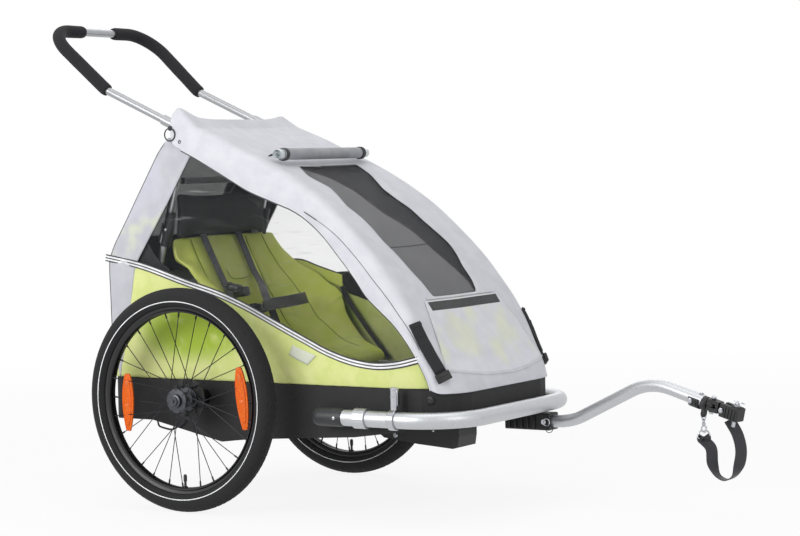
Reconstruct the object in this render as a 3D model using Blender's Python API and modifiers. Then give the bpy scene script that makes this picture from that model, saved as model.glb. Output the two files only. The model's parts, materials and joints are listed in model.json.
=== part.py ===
"""Child bike trailer: a single-seat, two-wheel trailer with a folding roof frame, a push bar and a tow arm.

Metres, +Z up, +X towards the tow hitch, +Y to the left side. Every piece is placed from the wheel axle: x = 0 is
the axle line, z = 0 the ground. The trailer empty then moves the whole to put the origin under its middle.
"""

import math

import bmesh
import bpy
from mathutils import Matrix, Vector

# Overall sizes
AXLE_X = -0.3341
GAP = 0.0003
WHEEL_RADIUS = 0.25
AXLE_HEIGHT = 0.25
TRACK = 0.68
BODY_HALF = 0.2525
BODY_TAPER = 0.064
FABRIC = 0.0025

# Floor tub
TUB_REAR = -0.26
TUB_FRONT = 0.638
TUB_HALF = 0.255
TUB_TOP = 0.285
TUB_WALL = 0.0035
TUB_FRONT_CORNER = 0.10
TUB_REAR_CORNER = 0.02
TUB_KEEL = [(-0.15, 0.19), (0.045, 0.149), (0.12, 0.158), (0.40, 0.176), (0.56, 0.198)]

# Wheels
TYRE_WIDTH = 0.047
TYRE_SEAT = 0.2085
TYRE_SIDES = 36
RIM_INNER = 0.1955
RIM_WIDTH = 0.027
HUB_HALF = 0.030
HUB_RADIUS = 0.016
FLANGE_RADIUS = 0.024
FLANGE_OFFSET = 0.019
FLANGE_THICK = 0.004
SPOKES_PER_FLANGE = 14
SPOKE_RADIUS = 0.001
SPOKE_LEAN = math.radians(45)
SPOKE_STEP = 0.0013
AXLE_PIN_RADIUS = 0.006
AXLE_PIN_DEPTH = 0.12
AXLE_PIN_HEAD_RADIUS = 0.011
AXLE_PIN_HEAD = 0.004
BUTTON_RADIUS = 0.004
BUTTON_TRAVEL = 0.003
BUTTON_PROUD = 0.0022
BUTTON_LENGTH = 0.016

# Axle beam and parking brake
BEAM_RADIUS = 0.017
BEAM_WALL = 0.003
BOSS_RADIUS = 0.017
SPIGOT_LENGTH = 0.022
HOLE_EASE = 1.0218978
HUB_SIDE_GAP = 0.0012
BRAKE_RING_RADIUS = 0.046
BRAKE_RING_THICK = 0.003
BRAKE_HOLE_CIRCLE = 0.036
BRAKE_HOLES = 8
BRAKE_PIN_RADIUS = 0.0025
BRAKE_HOLE_RADIUS = 0.0045
BRAKE_PIN_LENGTH = 0.036
BRAKE_GUIDE_RADIUS = 0.007
BRAKE_PIN_BARE = 0.0237
PEDAL_PIVOT = (-0.276, 0.224)
PEDAL_HALF = 0.055
PEDAL_REACH = 0.058
PEDAL_THICK = 0.006
PEDAL_EYE = 0.0065
PEDAL_PIN = 0.003
EAR_THICK = 0.006
CABLE_RADIUS = 0.0022

# Bumper tube
BUMPER_RADIUS = 0.018
BUMPER_Z = 0.222
BUMPER_HALF = 0.285
BUMPER_FRONT = 0.668
BUMPER_REAR = 0.338
BUMPER_CORNER = 0.13
CAP_LENGTH = 0.077
CAP_CUP = 0.057
CAP_WALL = 0.0022
MOUNT_X = 0.44
MOUNT_LENGTH = 0.03
MOUNT_WALL = 0.004
MOUNT_LUG = 0.02

# Flag holder on the bumper
FLAG_X = 0.521
FLAG_RADIUS = 0.0085
FLAG_BORE = 0.005
FLAG_TOP = 0.292
FLAG_CLIP = 0.016

# Folding frame
FRAME_TUBE = 0.0095
UPRIGHT_TUBE = 0.008
HOOP_PIVOT = (0.585, 0.262)
HOOP_FOOT_CLEAR = 0.0026409
HOOP_CLEAR = 0.0017
HOOP_INSET = FRAME_TUBE + FABRIC + HOOP_CLEAR
PIVOT_PIN = 0.006
UPRIGHT_PIVOT = (-0.235, 0.262)
CROSS_TUBE = 0.007
UPRIGHT_EYE = 0.0125
UPRIGHT_EYE_WIDTH = 0.016
KNUCKLE = (-0.155, 0.615)
KNUCKLE_RADIUS = 0.0125
KNUCKLE_LENGTH = 0.046
CORNER = (-0.1075, 0.8555)
SIDE_GAP = 0.0008
BACK_BAR_Z = 0.735
BACK_BAR_RADIUS = 0.006

# Push bar
HANDLE_TUBE = 0.0095
HANDLE_BEND = (-0.322, 0.950)
HANDLE_TOP = (-0.489, 1.096)
HANDLE_TOP_HALF = 0.192
HANDLE_CORNER = 0.075
GRIP_RADIUS = 0.015
GRIP_BARE_HALF = 0.055
GRIP_START = 0.010
GRIP_LEAD = 0.95
SOCKET_RADIUS = 0.0122
SOCKET_EYE = 0.0135
SOCKET_LENGTH = 0.052
SOCKET_FLOOR = 0.005
LOCK_PIN_RADIUS = 0.003
LOCK_PIN_LENGTH = 0.050
LOCK_PIN_HEAD = 0.006
PULL_RING = 0.0145
PULL_RING_WIRE = 0.0014
SLOT_RADIUS = 0.034

# Canopy, as points along its crown line seen from the side
CROWN = [
    (0.518, 0.476), (0.485, 0.520), (0.43, 0.582), (0.365, 0.643), (0.30, 0.692), (0.235, 0.732),
    (0.165, 0.768), (0.105, 0.796), (0.03, 0.828), (-0.04, 0.855), (-0.114, 0.879),
]
FRONT_LINE = [(0.6175, 0.2853), (0.6175, 0.2905), (0.610, 0.310), (0.594, 0.350), (0.563, 0.405)]
REAR_LINE = [(-0.130, 0.836), (-0.290, 0.560), (-0.274, 0.370), (-0.2585, 0.2853)]
FRONT_CHAMFER = ((0.545, 0.2525), (0.618, 0.216))
SHOULDER = 0.012
MESH_HALF = 0.105
MESH_FROM = 0
MESH_TO = 6
FILM = 0.0012
WINDOW = [
    (-0.070, 0.792), (-0.037, 0.776), (0.078, 0.720), (0.26, 0.648), (0.338, 0.602), (0.500, 0.434),
    (0.528, 0.372), (0.455, 0.345), (0.40, 0.348), (0.33, 0.366), (0.27, 0.398), (0.19, 0.432),
    (0.108, 0.467), (0.045, 0.491), (-0.061, 0.521), (-0.19, 0.557), (-0.238, 0.568),
]

# Rain cover roll
ROLL_RADIUS = 0.0145
ROLL_HALF = 0.168
ROLL_AT_CROWN = 6

# Seat and harness
SEAT_HALF = 0.170
SEAT_REST = AXLE_HEIGHT + BEAM_RADIUS + 2 * GAP
SEAT_FRONT = [(0.165, SEAT_REST), (0.205, 0.43)]
SEAT_TOP = [(0.190, 0.445), (-0.075, 0.421)]
SEAT_REAR = (-0.075, SEAT_REST)
BACK_FOOT = (-0.062, -0.034)
BACK_TOP = [(-0.112, 0.600), (-0.138, 0.600)]
HEADREST = [(-0.112, 0.6005), (-0.104, 0.650), (-0.106, 0.706), (-0.122, 0.710), (-0.132, 0.655), (-0.138, 0.6005)]
WEBBING = 0.025
WEBBING_THICK = 0.002
SHOULDER_Y = 0.070
LAP_X = 0.050
BUCKLE_Y = -0.125
BUCKLE_RADIUS = 0.020
BUCKLE_THICK = 0.016
PRESS_RADIUS = 0.008
PRESS_TRAVEL = 0.003

# Tow arm and hitch
ARM_RADIUS = 0.014
ARM_Y = 0.16
ARM_Z = 0.178
ARM_START = 0.56
ARM_KNEE_X = 0.712
ARM_STRAIGHT = 0.145
ARM_BEND = 0.16
RECEIVER_LENGTH = 0.115
RECEIVER_REAR = 0.553
RECEIVER_HALF = 0.022
RECEIVER_FLOOR = 0.1585
RECEIVER_PIN_X = 0.655
RECEIVER_PIN_RADIUS = 0.003
SPLIT_RING = 0.008
HITCH = (1.070, 0.0815, 0.2475)
HITCH_TILT = math.radians(14)
HITCH_YAW = math.radians(-12.7)
CUFF_RADIUS = 0.019
CUFF_REAR = -0.045
CUFF_FRONT = 0.012
LUG_X = 0.0085
LUG_DROP = 0.0075
LUG_HALF = 0.0055
TONGUE_HALF = 0.004
TONGUE_WIDTH = 0.020
JAW_HALF = 0.0125
JAW_CLEAR = 0.0135
YAW_X = 0.027
PITCH_X = 0.061
HITCH_END = 0.102
HITCH_HALF = 0.0145
HITCH_BOLT = 0.004
HITCH_PIN_X = 0.088
HITCH_PIN_LENGTH = 0.044

# Safety strap
HOOK_DROP = 0.040
HOOK_HALF = 0.0070
HOOK_WIRE = 0.0020
RING_HALF = 0.0155
RING_DROP = 0.016
RING_WIRE = 0.0018
STRAP_THICK = 0.0022
STRAP_LINE = [(1.0865, 0.150), (1.092, 0.112), (1.106, 0.087), (1.121, 0.0812), (1.138, 0.088), (1.151, 0.112),
              (1.157, 0.145), (1.150, 0.178), (1.131, 0.2105)]

# Underside wheel bracket
BRACKET_BOTTOM = [(0.536, 0.158), (0.532, 0.134), (0.520, 0.131), (0.43, 0.1375), (0.34, 0.148)]
BRACKET_TOP_X = (0.310, 0.40, 0.536)
BRACKET_HALF = 0.04

COLOURS = {
    "black_plastic": ((0.020, 0.020, 0.022), 0.45, 0.0),
    "aluminium": ((0.62, 0.63, 0.65), 0.32, 1.0),
    "dark_steel": ((0.10, 0.10, 0.11), 0.40, 1.0),
    "bright_steel": ((0.70, 0.71, 0.73), 0.22, 1.0),
    "rubber": ((0.025, 0.025, 0.027), 0.80, 0.0),
    "foam": ((0.030, 0.030, 0.032), 0.90, 0.0),
    "black_rim": ((0.018, 0.018, 0.020), 0.30, 0.0),
    "grey_fabric": ((0.66, 0.67, 0.71), 0.85, 0.0),
    "lime_fabric": ((0.62, 0.72, 0.16), 0.85, 0.0),
    "black_fabric": ((0.030, 0.030, 0.034), 0.90, 0.0),
    "mesh_fabric": ((0.16, 0.16, 0.17), 0.90, 0.0),
    "clear_film": ((0.85, 0.88, 0.88), 0.10, 0.0),
}

SIDES = {"right": -1.0, "left": 1.0}
X_AXIS = Vector((1, 0, 0))
Y_AXIS = Vector((0, 1, 0))
Z_AXIS = Vector((0, 0, 1))
PLACES = {}


# Scene and hierarchy

def clear_scene():
    for obj in list(bpy.data.objects):
        bpy.data.objects.remove(obj, do_unlink=True)


def collection(name, hidden=False):
    group = bpy.data.collections.new(name)
    bpy.context.scene.collection.children.link(group)
    group.hide_render = hidden
    return group


def axis_empty(name, at, parent=None, turn=(0.0, 0.0, 0.0)):
    """An empty on a joint's axis; what it holds turns or slides about it."""
    empty = bpy.data.objects.new(name, None)
    empty.empty_display_size = 0.05
    PARTS.objects.link(empty)
    empty.parent = parent
    empty.location = Vector(at) - place_of(parent)
    empty.rotation_euler = turn
    PLACES[name] = Vector(at)
    return empty


def place_of(empty):
    return PLACES.get(empty.name, Vector()) if empty else Vector()


def move_to(obj, group, parent):
    for old in list(obj.users_collection):
        old.objects.unlink(obj)
    group.objects.link(obj)
    obj.parent = parent
    obj.location = obj.location - place_of(parent)
    return obj


def part(obj, name, finish, parent):
    """Makes a shape one of the trailer's pieces, with its own material and parent."""
    obj.name = name
    obj.data.name = name
    move_to(obj, PARTS, parent)
    colour, roughness, metallic = COLOURS[finish]
    material = bpy.data.materials.new(name)
    material.use_nodes = True
    shader = material.node_tree.nodes["Principled BSDF"]
    shader.inputs["Base Color"].default_value = (*colour, 1.0)
    shader.inputs["Roughness"].default_value = roughness
    shader.inputs["Metallic"].default_value = metallic
    material.diffuse_color = (*colour, 1.0)
    obj.data.materials.clear()
    obj.data.materials.append(material)
    if obj.type == "MESH":
        obj.data.shade_smooth()
        obj.data.set_sharp_from_angle(angle=math.radians(35))
    return obj


def cut(obj, *cutters):
    """Cuts a placed piece by shapes given in the same coordinates, and keeps them as cutters."""
    for index, cutter in enumerate(cutters):
        cutter.name = f"{obj.name}_cutter_{index + 1}"
        move_to(cutter, CUTTERS, obj.parent)
        cutter.hide_render = True
        cutter.display_type = "WIRE"
        modifier = obj.modifiers.new("cut", "BOOLEAN")
        modifier.operation = "DIFFERENCE"
        modifier.object = cutter
    return obj


# Shapes

def link(name, mesh, at=(0, 0, 0), axis=Z_AXIS):
    obj = bpy.data.objects.new(name, mesh)
    bpy.context.scene.collection.objects.link(obj)
    obj.location = at
    obj.rotation_euler = Z_AXIS.rotation_difference(Vector(axis)).to_euler()
    return obj


def evaluated(obj):
    """The object as a mesh, with its modifiers applied and its loose caps welded."""
    bpy.context.view_layer.update()
    graph = bpy.context.evaluated_depsgraph_get()
    mesh = bpy.data.meshes.new_from_object(obj.evaluated_get(graph))
    work = bmesh.new()
    work.from_mesh(mesh)
    bmesh.ops.remove_doubles(work, verts=work.verts, dist=1e-6)
    bmesh.ops.recalc_face_normals(work, faces=work.faces)
    work.to_mesh(mesh)
    work.free()
    solid = bpy.data.objects.new(obj.name, mesh)
    bpy.context.scene.collection.objects.link(solid)
    solid.matrix_world = obj.matrix_world.copy()
    bpy.data.objects.remove(obj, do_unlink=True)
    return solid


def union(base, *others):
    """Joins closed shapes that overlap into one body."""
    for other in others:
        modifier = base.modifiers.new("join", "BOOLEAN")
        modifier.operation = "UNION"
        modifier.object = other
    joined = evaluated(base)
    for other in others:
        bpy.data.objects.remove(other, do_unlink=True)
    return joined


def minus(base, *others):
    """Shapes a cutter, or a piece before it is placed."""
    for other in others:
        modifier = base.modifiers.new("cut", "BOOLEAN")
        modifier.operation = "DIFFERENCE"
        modifier.object = other
    shaped = evaluated(base)
    for other in others:
        bpy.data.objects.remove(other, do_unlink=True)
    return shaped


def box(low, high, bevel=0.0):
    low, high = Vector(low), Vector(high)
    work = bmesh.new()
    bmesh.ops.create_cube(work, size=1.0)
    bmesh.ops.scale(work, vec=high - low, verts=work.verts)
    mesh = bpy.data.meshes.new("box")
    work.to_mesh(mesh)
    work.free()
    obj = link("box", mesh, (low + high) / 2)
    if bevel:
        modifier = obj.modifiers.new("round", "BEVEL")
        modifier.width = bevel
        modifier.segments = 1
        obj = evaluated(obj)
    return obj


def rod(start, end, radius, sides=16):
    """A cylinder between two points."""
    start, end = Vector(start), Vector(end)
    work = bmesh.new()
    bmesh.ops.create_cone(
        work, cap_ends=True, segments=sides, radius1=radius, radius2=radius, depth=(end - start).length
    )
    mesh = bpy.data.meshes.new("rod")
    work.to_mesh(mesh)
    work.free()
    return link("rod", mesh, (start + end) / 2, (end - start).normalized())


def turned(profile, at, axis, sides=32, closed=False):
    """A profile of (radius, height) pairs, outer side from top to bottom, turned about its axis."""
    mesh = bpy.data.meshes.new("turned")
    edges = [(i, i + 1) for i in range(len(profile) - 1)]
    if closed:
        edges.append((len(profile) - 1, 0))
    mesh.from_pydata([(radius, 0.0, height) for radius, height in profile], edges, [])
    obj = link("turned", mesh, at, axis)
    screw = obj.modifiers.new("turn", "SCREW")
    screw.axis = "Z"
    screw.steps = sides
    screw.render_steps = sides
    screw.use_merge_vertices = True
    screw.merge_threshold = 1e-5
    screw.use_smooth_shade = False
    return obj


def curve_object(points, cyclic=False, dimensions="3D"):
    data = bpy.data.curves.new("curve", "CURVE")
    data.dimensions = dimensions
    spline = data.splines.new("POLY")
    spline.points.add(len(points) - 1)
    for target, point in zip(spline.points, points):
        target.co = (*point, 1.0)
    spline.use_cyclic_u = cyclic
    obj = bpy.data.objects.new("curve", data)
    bpy.context.scene.collection.objects.link(obj)
    return obj


def tube(points, radius, fineness=4, cyclic=False):
    obj = curve_object(points, cyclic)
    obj.data.bevel_depth = radius
    obj.data.bevel_resolution = fineness
    obj.data.use_fill_caps = not cyclic
    return obj


def plate(outline, y_from, y_to):
    """An outline in X and Z with a thickness along Y."""
    obj = curve_object([(x, z, 0.0) for x, z in outline], cyclic=True, dimensions="2D")
    obj.data.fill_mode = "BOTH"
    obj.data.extrude = (y_to - y_from) / 2
    obj.rotation_euler = (math.radians(90), 0.0, 0.0)
    obj.location = (0.0, (y_from + y_to) / 2, 0.0)
    return evaluated(obj)


def slab(outline, z_from, z_to):
    """An outline in X and Y with a thickness along Z."""
    obj = curve_object([(x, y, 0.0) for x, y in outline], cyclic=True, dimensions="2D")
    obj.data.fill_mode = "BOTH"
    obj.data.extrude = (z_to - z_from) / 2
    obj.location = (0.0, 0.0, (z_from + z_to) / 2)
    return evaluated(obj)


def ring(at, major, minor, axis, sides=16):
    bpy.ops.mesh.primitive_torus_add(
        major_segments=sides, minor_segments=6, major_radius=major, minor_radius=minor, location=at,
        rotation=Z_AXIS.rotation_difference(Vector(axis)).to_euler(),
    )
    return bpy.context.object


# Lines

def rounded(points, radius, step=math.radians(14), cyclic=False):
    """The corners of a path replaced by arcs of the radius, or smaller where a straight is short."""
    points = [Vector(p) for p in points]
    count = len(points)
    path = []
    for i, corner in enumerate(points):
        if not cyclic and i in (0, count - 1):
            path.append(corner)
            continue
        before, after = points[i - 1], points[(i + 1) % count]
        back, ahead = (before - corner), (after - corner)
        turn = math.pi - back.angle(ahead)
        if turn < math.radians(2):
            path.append(corner)
            continue
        reach = min(radius * math.tan(turn / 2), 0.48 * back.length, 0.48 * ahead.length)
        bend = reach / math.tan(turn / 2)
        back.normalize()
        ahead.normalize()
        centre = corner + (back + ahead).normalized() * (bend / math.cos(turn / 2))
        first = corner + back * reach - centre
        pieces = max(1, math.ceil(turn / step))
        axis = first.cross(corner + ahead * reach - centre).normalized()
        for k in range(pieces + 1):
            path.append(centre + Matrix.Rotation(turn * k / pieces, 3, axis) @ first)
    return path


def offset(points, distance, cyclic=False):
    """A line of (x, z) points moved sideways, to its left, by the distance."""
    count = len(points)
    moved = []
    for i in range(count):
        here = Vector(points[i])
        sides = []
        if cyclic or i > 0:
            sides.append((here - Vector(points[i - 1])).normalized())
        if cyclic or i < count - 1:
            sides.append((Vector(points[(i + 1) % count]) - here).normalized())
        normals = [Vector((-s.y, s.x)) for s in sides]
        middle = sum(normals, Vector((0, 0))).normalized()
        moved.append(tuple(here + middle * (distance / middle.dot(normals[0]))))
    return moved


def keel(x):
    """Height of the tub's underside."""
    line = TUB_KEEL
    if x <= line[0][0]:
        return line[0][1]
    for (x0, z0), (x1, z1) in zip(line, line[1:]):
        if x <= x1:
            return z0 + (z1 - z0) * (x - x0) / (x1 - x0)
    return line[-1][1]


def body_half(z):
    """Half-width of the fabric body at a height."""
    return BODY_HALF - BODY_TAPER * (z - TUB_TOP)


def tub_outline(inset):
    front, rear = TUB_FRONT - inset, TUB_REAR + inset
    half = TUB_HALF - inset
    outline = []
    corners = ((front, half, TUB_FRONT_CORNER - inset, 0), (rear, half, TUB_REAR_CORNER - inset, 90),
               (rear, -half, TUB_REAR_CORNER - inset, 180), (front, -half, TUB_FRONT_CORNER - inset, 270))
    for x, y, radius, start in corners:
        centre = Vector((x - math.copysign(radius, x), y - math.copysign(radius, y)))
        for k in range(6):
            angle = math.radians(start + 18 * k)
            outline.append((centre.x + radius * math.cos(angle), centre.y + radius * math.sin(angle)))
    return outline


# Floor, axle and brake

def keel_cutter(lift):
    """What lies below the tub's underside, raised by a lift."""
    low = TUB_KEEL[1][1] - 0.05
    reach = 0.05
    line = [(x, z + lift) for x, z in TUB_KEEL]
    line = [(TUB_REAR - reach, line[0][1])] + line + [(TUB_FRONT + reach, line[-1][1])]
    outline = line + [(TUB_FRONT + reach, low), (TUB_REAR - reach, low)]
    return plate(outline, -TUB_HALF - reach, TUB_HALF + reach)


def build_floor():
    bottom = TUB_KEEL[1][1] - 0.01
    shape = minus(slab(tub_outline(0.0), bottom, TUB_TOP), keel_cutter(0.0))
    ears = []
    x, z = PEDAL_PIVOT
    for side in SIDES.values():
        inner = side * (PEDAL_HALF + 2 * GAP)
        outer = inner + side * EAR_THICK
        ears.append(box((x - PEDAL_EYE, min(inner, outer), z - PEDAL_EYE),
                        (TUB_REAR + TUB_WALL / 2, max(inner, outer), z + PEDAL_EYE)))
    pin_half = PEDAL_HALF + EAR_THICK / 2
    ears.append(rod((x, -pin_half, z), (x, pin_half, z), PEDAL_PIN, 12))
    tub = part(union(shape, *ears), "floor_tub", "black_plastic", TRAILER)
    hollow = minus(slab(tub_outline(TUB_WALL), bottom, TUB_TOP + 0.05), keel_cutter(TUB_WALL))
    cutters = [hollow]
    for side in SIDES.values():
        through = (side * (TUB_HALF - 8 * TUB_WALL), side * (TUB_HALF + TUB_WALL))
        holes = [(0.0, AXLE_HEIGHT, (BEAM_RADIUS - BEAM_WALL - GAP) * HOLE_EASE)]
        holes.append((*HOOP_PIVOT, PIVOT_PIN + GAP))
        for hole_x, hole_z, radius in holes:
            cutters.append(rod((hole_x, through[0], hole_z), (hole_x, through[1], hole_z), radius))
    cut(tub, *cutters)

    inner_wall = TUB_HALF - TUB_WALL - GAP
    bore = BEAM_RADIUS - BEAM_WALL
    profile = [(BEAM_RADIUS, inner_wall), (BEAM_RADIUS, -inner_wall), (bore, -inner_wall), (bore, inner_wall)]
    part(turned(profile, (0, 0, AXLE_HEIGHT), Y_AXIS, 20, closed=True), "axle_beam", "aluminium", TRAILER)
    x, z = UPRIGHT_PIVOT
    part(rod((x, -inner_wall, z), (x, inner_wall, z), CROSS_TUBE), "rear_cross_tube", "aluminium", TRAILER)

    outline = [(px, pz) for px, pz in BRACKET_BOTTOM]
    outline += [(px, keel(px) - GAP) for px in BRACKET_TOP_X]
    part(plate(outline, -BRACKET_HALF, BRACKET_HALF), "wheel_bracket", "black_plastic", TRAILER)


def build_axle_side(name, side):
    """The receiver, its quick-release pin and the brake pin of one side."""
    axis = side * Y_AXIS
    hub_inner = TRACK / 2 - HUB_HALF
    outer_end = hub_inner - HUB_SIDE_GAP
    face = TUB_HALF + GAP
    bore = AXLE_PIN_RADIUS + GAP
    spigot = BEAM_RADIUS - BEAM_WALL - GAP
    profile = [(BOSS_RADIUS, outer_end), (BOSS_RADIUS, face), (spigot, face), (spigot, face - SPIGOT_LENGTH),
               (bore, face - SPIGOT_LENGTH), (bore, outer_end)]
    receiver = turned(profile, (0, 0, AXLE_HEIGHT), axis, 20, closed=True)
    pin_x = -BRAKE_HOLE_CIRCLE
    tip = TRACK / 2 - HUB_HALF - BRAKE_RING_THICK
    guide_end = tip - BRAKE_PIN_BARE
    guide = rod((pin_x, side * face, AXLE_HEIGHT), (pin_x, side * guide_end, AXLE_HEIGHT), BRAKE_GUIDE_RADIUS)
    web = box((pin_x, min(side * face, side * guide_end), AXLE_HEIGHT - BRAKE_GUIDE_RADIUS / 2),
              (-(BOSS_RADIUS + bore) / 2, max(side * face, side * guide_end), AXLE_HEIGHT + BRAKE_GUIDE_RADIUS / 2))
    receiver = part(union(evaluated(receiver), guide, web), f"axle_receiver_{name}", "dark_steel", TRAILER)
    reach = 2 * guide_end - face
    cut(receiver, rod((pin_x, side * (face - GAP * 10), AXLE_HEIGHT), (pin_x, side * reach, AXLE_HEIGHT),
                      BRAKE_PIN_RADIUS + GAP, 12))

    slide = axis_empty(f"brake_slide_{name}", (pin_x, side * tip, AXLE_HEIGHT), TRAILER)
    pin = rod((pin_x, side * (tip - BRAKE_PIN_LENGTH), AXLE_HEIGHT), (pin_x, side * tip, AXLE_HEIGHT),
              BRAKE_PIN_RADIUS, 12)
    part(pin, f"brake_pin_{name}", "bright_steel", slide)

    end = TRACK / 2 + HUB_HALF + GAP
    head_end = end + AXLE_PIN_HEAD
    well = head_end + BUTTON_PROUD - BUTTON_LENGTH - BUTTON_TRAVEL - GAP
    button_bore = BUTTON_RADIUS + GAP
    edge = AXLE_PIN_HEAD / 4
    profile = [(0.0, well), (button_bore, well), (button_bore, head_end), (AXLE_PIN_HEAD_RADIUS - edge, head_end),
               (AXLE_PIN_HEAD_RADIUS, head_end - edge), (AXLE_PIN_HEAD_RADIUS, end), (AXLE_PIN_RADIUS, end),
               (AXLE_PIN_RADIUS, end - AXLE_PIN_DEPTH), (0.0, end - AXLE_PIN_DEPTH)]
    part(evaluated(turned(profile, (0, 0, AXLE_HEIGHT), axis, 16)), f"axle_pin_{name}", "bright_steel", TRAILER)
    slide = axis_empty(f"axle_button_slide_{name}", (0, side * head_end, AXLE_HEIGHT), TRAILER)
    top = head_end + BUTTON_PROUD
    button = rod((0, side * (top - BUTTON_LENGTH), AXLE_HEIGHT), (0, side * top, AXLE_HEIGHT), BUTTON_RADIUS)
    part(button, f"axle_button_{name}", "dark_steel", slide)


def build_brake():
    """Foot pedal on its pin and the cable from it to the right receiver."""
    x, z = PEDAL_PIVOT
    hinge = axis_empty("brake_pedal_axis", (x, 0, z), TRAILER)
    eye = rod((x, -PEDAL_HALF, z), (x, PEDAL_HALF, z), PEDAL_EYE)
    foot = box((x - PEDAL_REACH, -PEDAL_HALF * 0.8, z - PEDAL_THICK / 2), (x - PEDAL_PIN * 1.5, PEDAL_HALF * 0.8, z + PEDAL_THICK / 2),
               PEDAL_THICK / 4)
    pedal = part(union(eye, foot), "brake_pedal", "black_plastic", hinge)
    reach = PEDAL_HALF + EAR_THICK
    cut(pedal, rod((x, -reach, z), (x, reach, z), PEDAL_PIN + GAP, 12))

    seat = CABLE_RADIUS + GAP
    behind = TUB_REAR - seat
    out = -TUB_HALF - seat
    under = keel(TUB_REAR) - seat
    route = [
        (behind, -0.085, 0.222), (behind - 0.001, -0.098, 0.196), (behind - 0.002, -0.106, under - 0.004),
        (-0.235, -0.130, under - 0.005), (-0.18, -0.200, under - 0.003), (-0.13, out, under - 0.012),
        (-0.09, out - 0.004, under - 0.018), (-0.055, out - 0.004, under),
        (-BRAKE_HOLE_CIRCLE, out - 0.006, AXLE_HEIGHT - BRAKE_GUIDE_RADIUS - seat),
    ]
    smooth = rounded(route, 0.03, math.radians(24))
    part(tube(smooth, CABLE_RADIUS, 2), "brake_cable", "black_plastic", TRAILER)


# Wheels

def build_wheel(name, side):
    axis = side * Y_AXIS
    at = (0, side * TRACK / 2, AXLE_HEIGHT)
    hinge = axis_empty(f"wheel_axis_{name}", at, TRAILER)
    half = TYRE_WIDTH / 2
    middle = (WHEEL_RADIUS + TYRE_SEAT) / 2
    height = (WHEEL_RADIUS - TYRE_SEAT) / 2
    outer = [(middle + height * math.cos(math.radians(a)), half * math.sin(math.radians(a))) for a in (52, 22, -22, -52)]
    outer = [(middle + (r - middle) / math.cos(math.radians(22)), y) for r, y in outer]
    section = [(TYRE_SEAT + GAP, RIM_WIDTH / 2), (middle, half)] + outer
    section += [(middle, -half), (TYRE_SEAT + GAP, -RIM_WIDTH / 2)]
    part(turned(section, at, axis, TYRE_SIDES, closed=True), f"tyre_{name}", "rubber", hinge)
    lip = RIM_WIDTH / 2
    section = [(TYRE_SEAT, lip), (TYRE_SEAT, -lip), (RIM_INNER, -lip / 2), (RIM_INNER, lip / 2)]
    part(turned(section, at, axis, TYRE_SIDES, closed=True), f"rim_{name}", "black_rim", hinge)

    bore = AXLE_PIN_RADIUS + GAP
    f_out = FLANGE_OFFSET + FLANGE_THICK / 2
    f_in = FLANGE_OFFSET - FLANGE_THICK / 2
    profile = [(HUB_RADIUS * 0.8, HUB_HALF), (HUB_RADIUS, f_out), (FLANGE_RADIUS + 0.003, f_out), (FLANGE_RADIUS + 0.003, f_in),
               (HUB_RADIUS, f_in), (HUB_RADIUS, -f_in), (FLANGE_RADIUS + 0.003, -f_in), (FLANGE_RADIUS + 0.003, -f_out),
               (HUB_RADIUS, -f_out), (HUB_RADIUS * 0.8, -HUB_HALF), (bore, -HUB_HALF), (bore, HUB_HALF)]
    hub = evaluated(turned(profile, at, axis, 18, closed=True))
    spokes = bmesh.new()
    centre = Vector(at)
    for flange in (-1, 1):
        for k in range(SPOKES_PER_FLANGE):
            lean = SPOKE_LEAN if k % 2 else -SPOKE_LEAN
            rim_angle = 2 * math.pi * (k + (0.25 if flange > 0 else 0.75)) / SPOKES_PER_FLANGE
            hub_angle = rim_angle + lean
            step = SPOKE_STEP * (1 if k % 2 else -1)
            start = centre + Vector((FLANGE_RADIUS * math.cos(hub_angle), flange * FLANGE_OFFSET + step,
                                     FLANGE_RADIUS * math.sin(hub_angle)))
            reach = RIM_INNER * math.cos(math.pi / TYRE_SIDES) - 1.5 * GAP
            end = centre + Vector((reach * math.cos(rim_angle), flange * 0.004 + step, reach * math.sin(rim_angle)))
            turn = Z_AXIS.rotation_difference((end - start).normalized()).to_matrix().to_4x4()
            bmesh.ops.create_cone(
                spokes, cap_ends=True, segments=5, radius1=SPOKE_RADIUS, radius2=SPOKE_RADIUS,
                depth=(end - start).length, matrix=Matrix.Translation((start + end) / 2) @ turn,
            )
    mesh = bpy.data.meshes.new("spokes")
    spokes.to_mesh(mesh)
    spokes.free()
    part(union(hub, link("spokes", mesh)), f"hub_and_spokes_{name}", "bright_steel", hinge)

    clear = SPOKE_STEP + SPOKE_RADIUS - FLANGE_THICK / 2 + 2 * GAP
    plate_at = (0, side * (TRACK / 2 - f_out - clear), AXLE_HEIGHT)
    grip = HUB_RADIUS + GAP
    profile = [(BRAKE_RING_RADIUS, 0), (BRAKE_RING_RADIUS, -BRAKE_RING_THICK), (grip, -BRAKE_RING_THICK), (grip, 0)]
    brake = part(evaluated(turned(profile, plate_at, axis, 36, closed=True)), f"brake_ring_{name}", "dark_steel", hinge)
    holes = bmesh.new()
    for k in range(BRAKE_HOLES):
        angle = math.pi + 2 * math.pi * k / BRAKE_HOLES
        spot = Vector(plate_at) + Vector((BRAKE_HOLE_CIRCLE * math.cos(angle), 0, BRAKE_HOLE_CIRCLE * math.sin(angle)))
        turn = Z_AXIS.rotation_difference(Y_AXIS).to_matrix().to_4x4()
        bmesh.ops.create_cone(holes, cap_ends=True, segments=6, radius1=BRAKE_HOLE_RADIUS, radius2=BRAKE_HOLE_RADIUS,
                              depth=BRAKE_RING_THICK * 4, matrix=Matrix.Translation(spot) @ turn)
    mesh = bpy.data.meshes.new("holes")
    holes.to_mesh(mesh)
    holes.free()
    cut(brake, link("holes", mesh))


# Bumper

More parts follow.
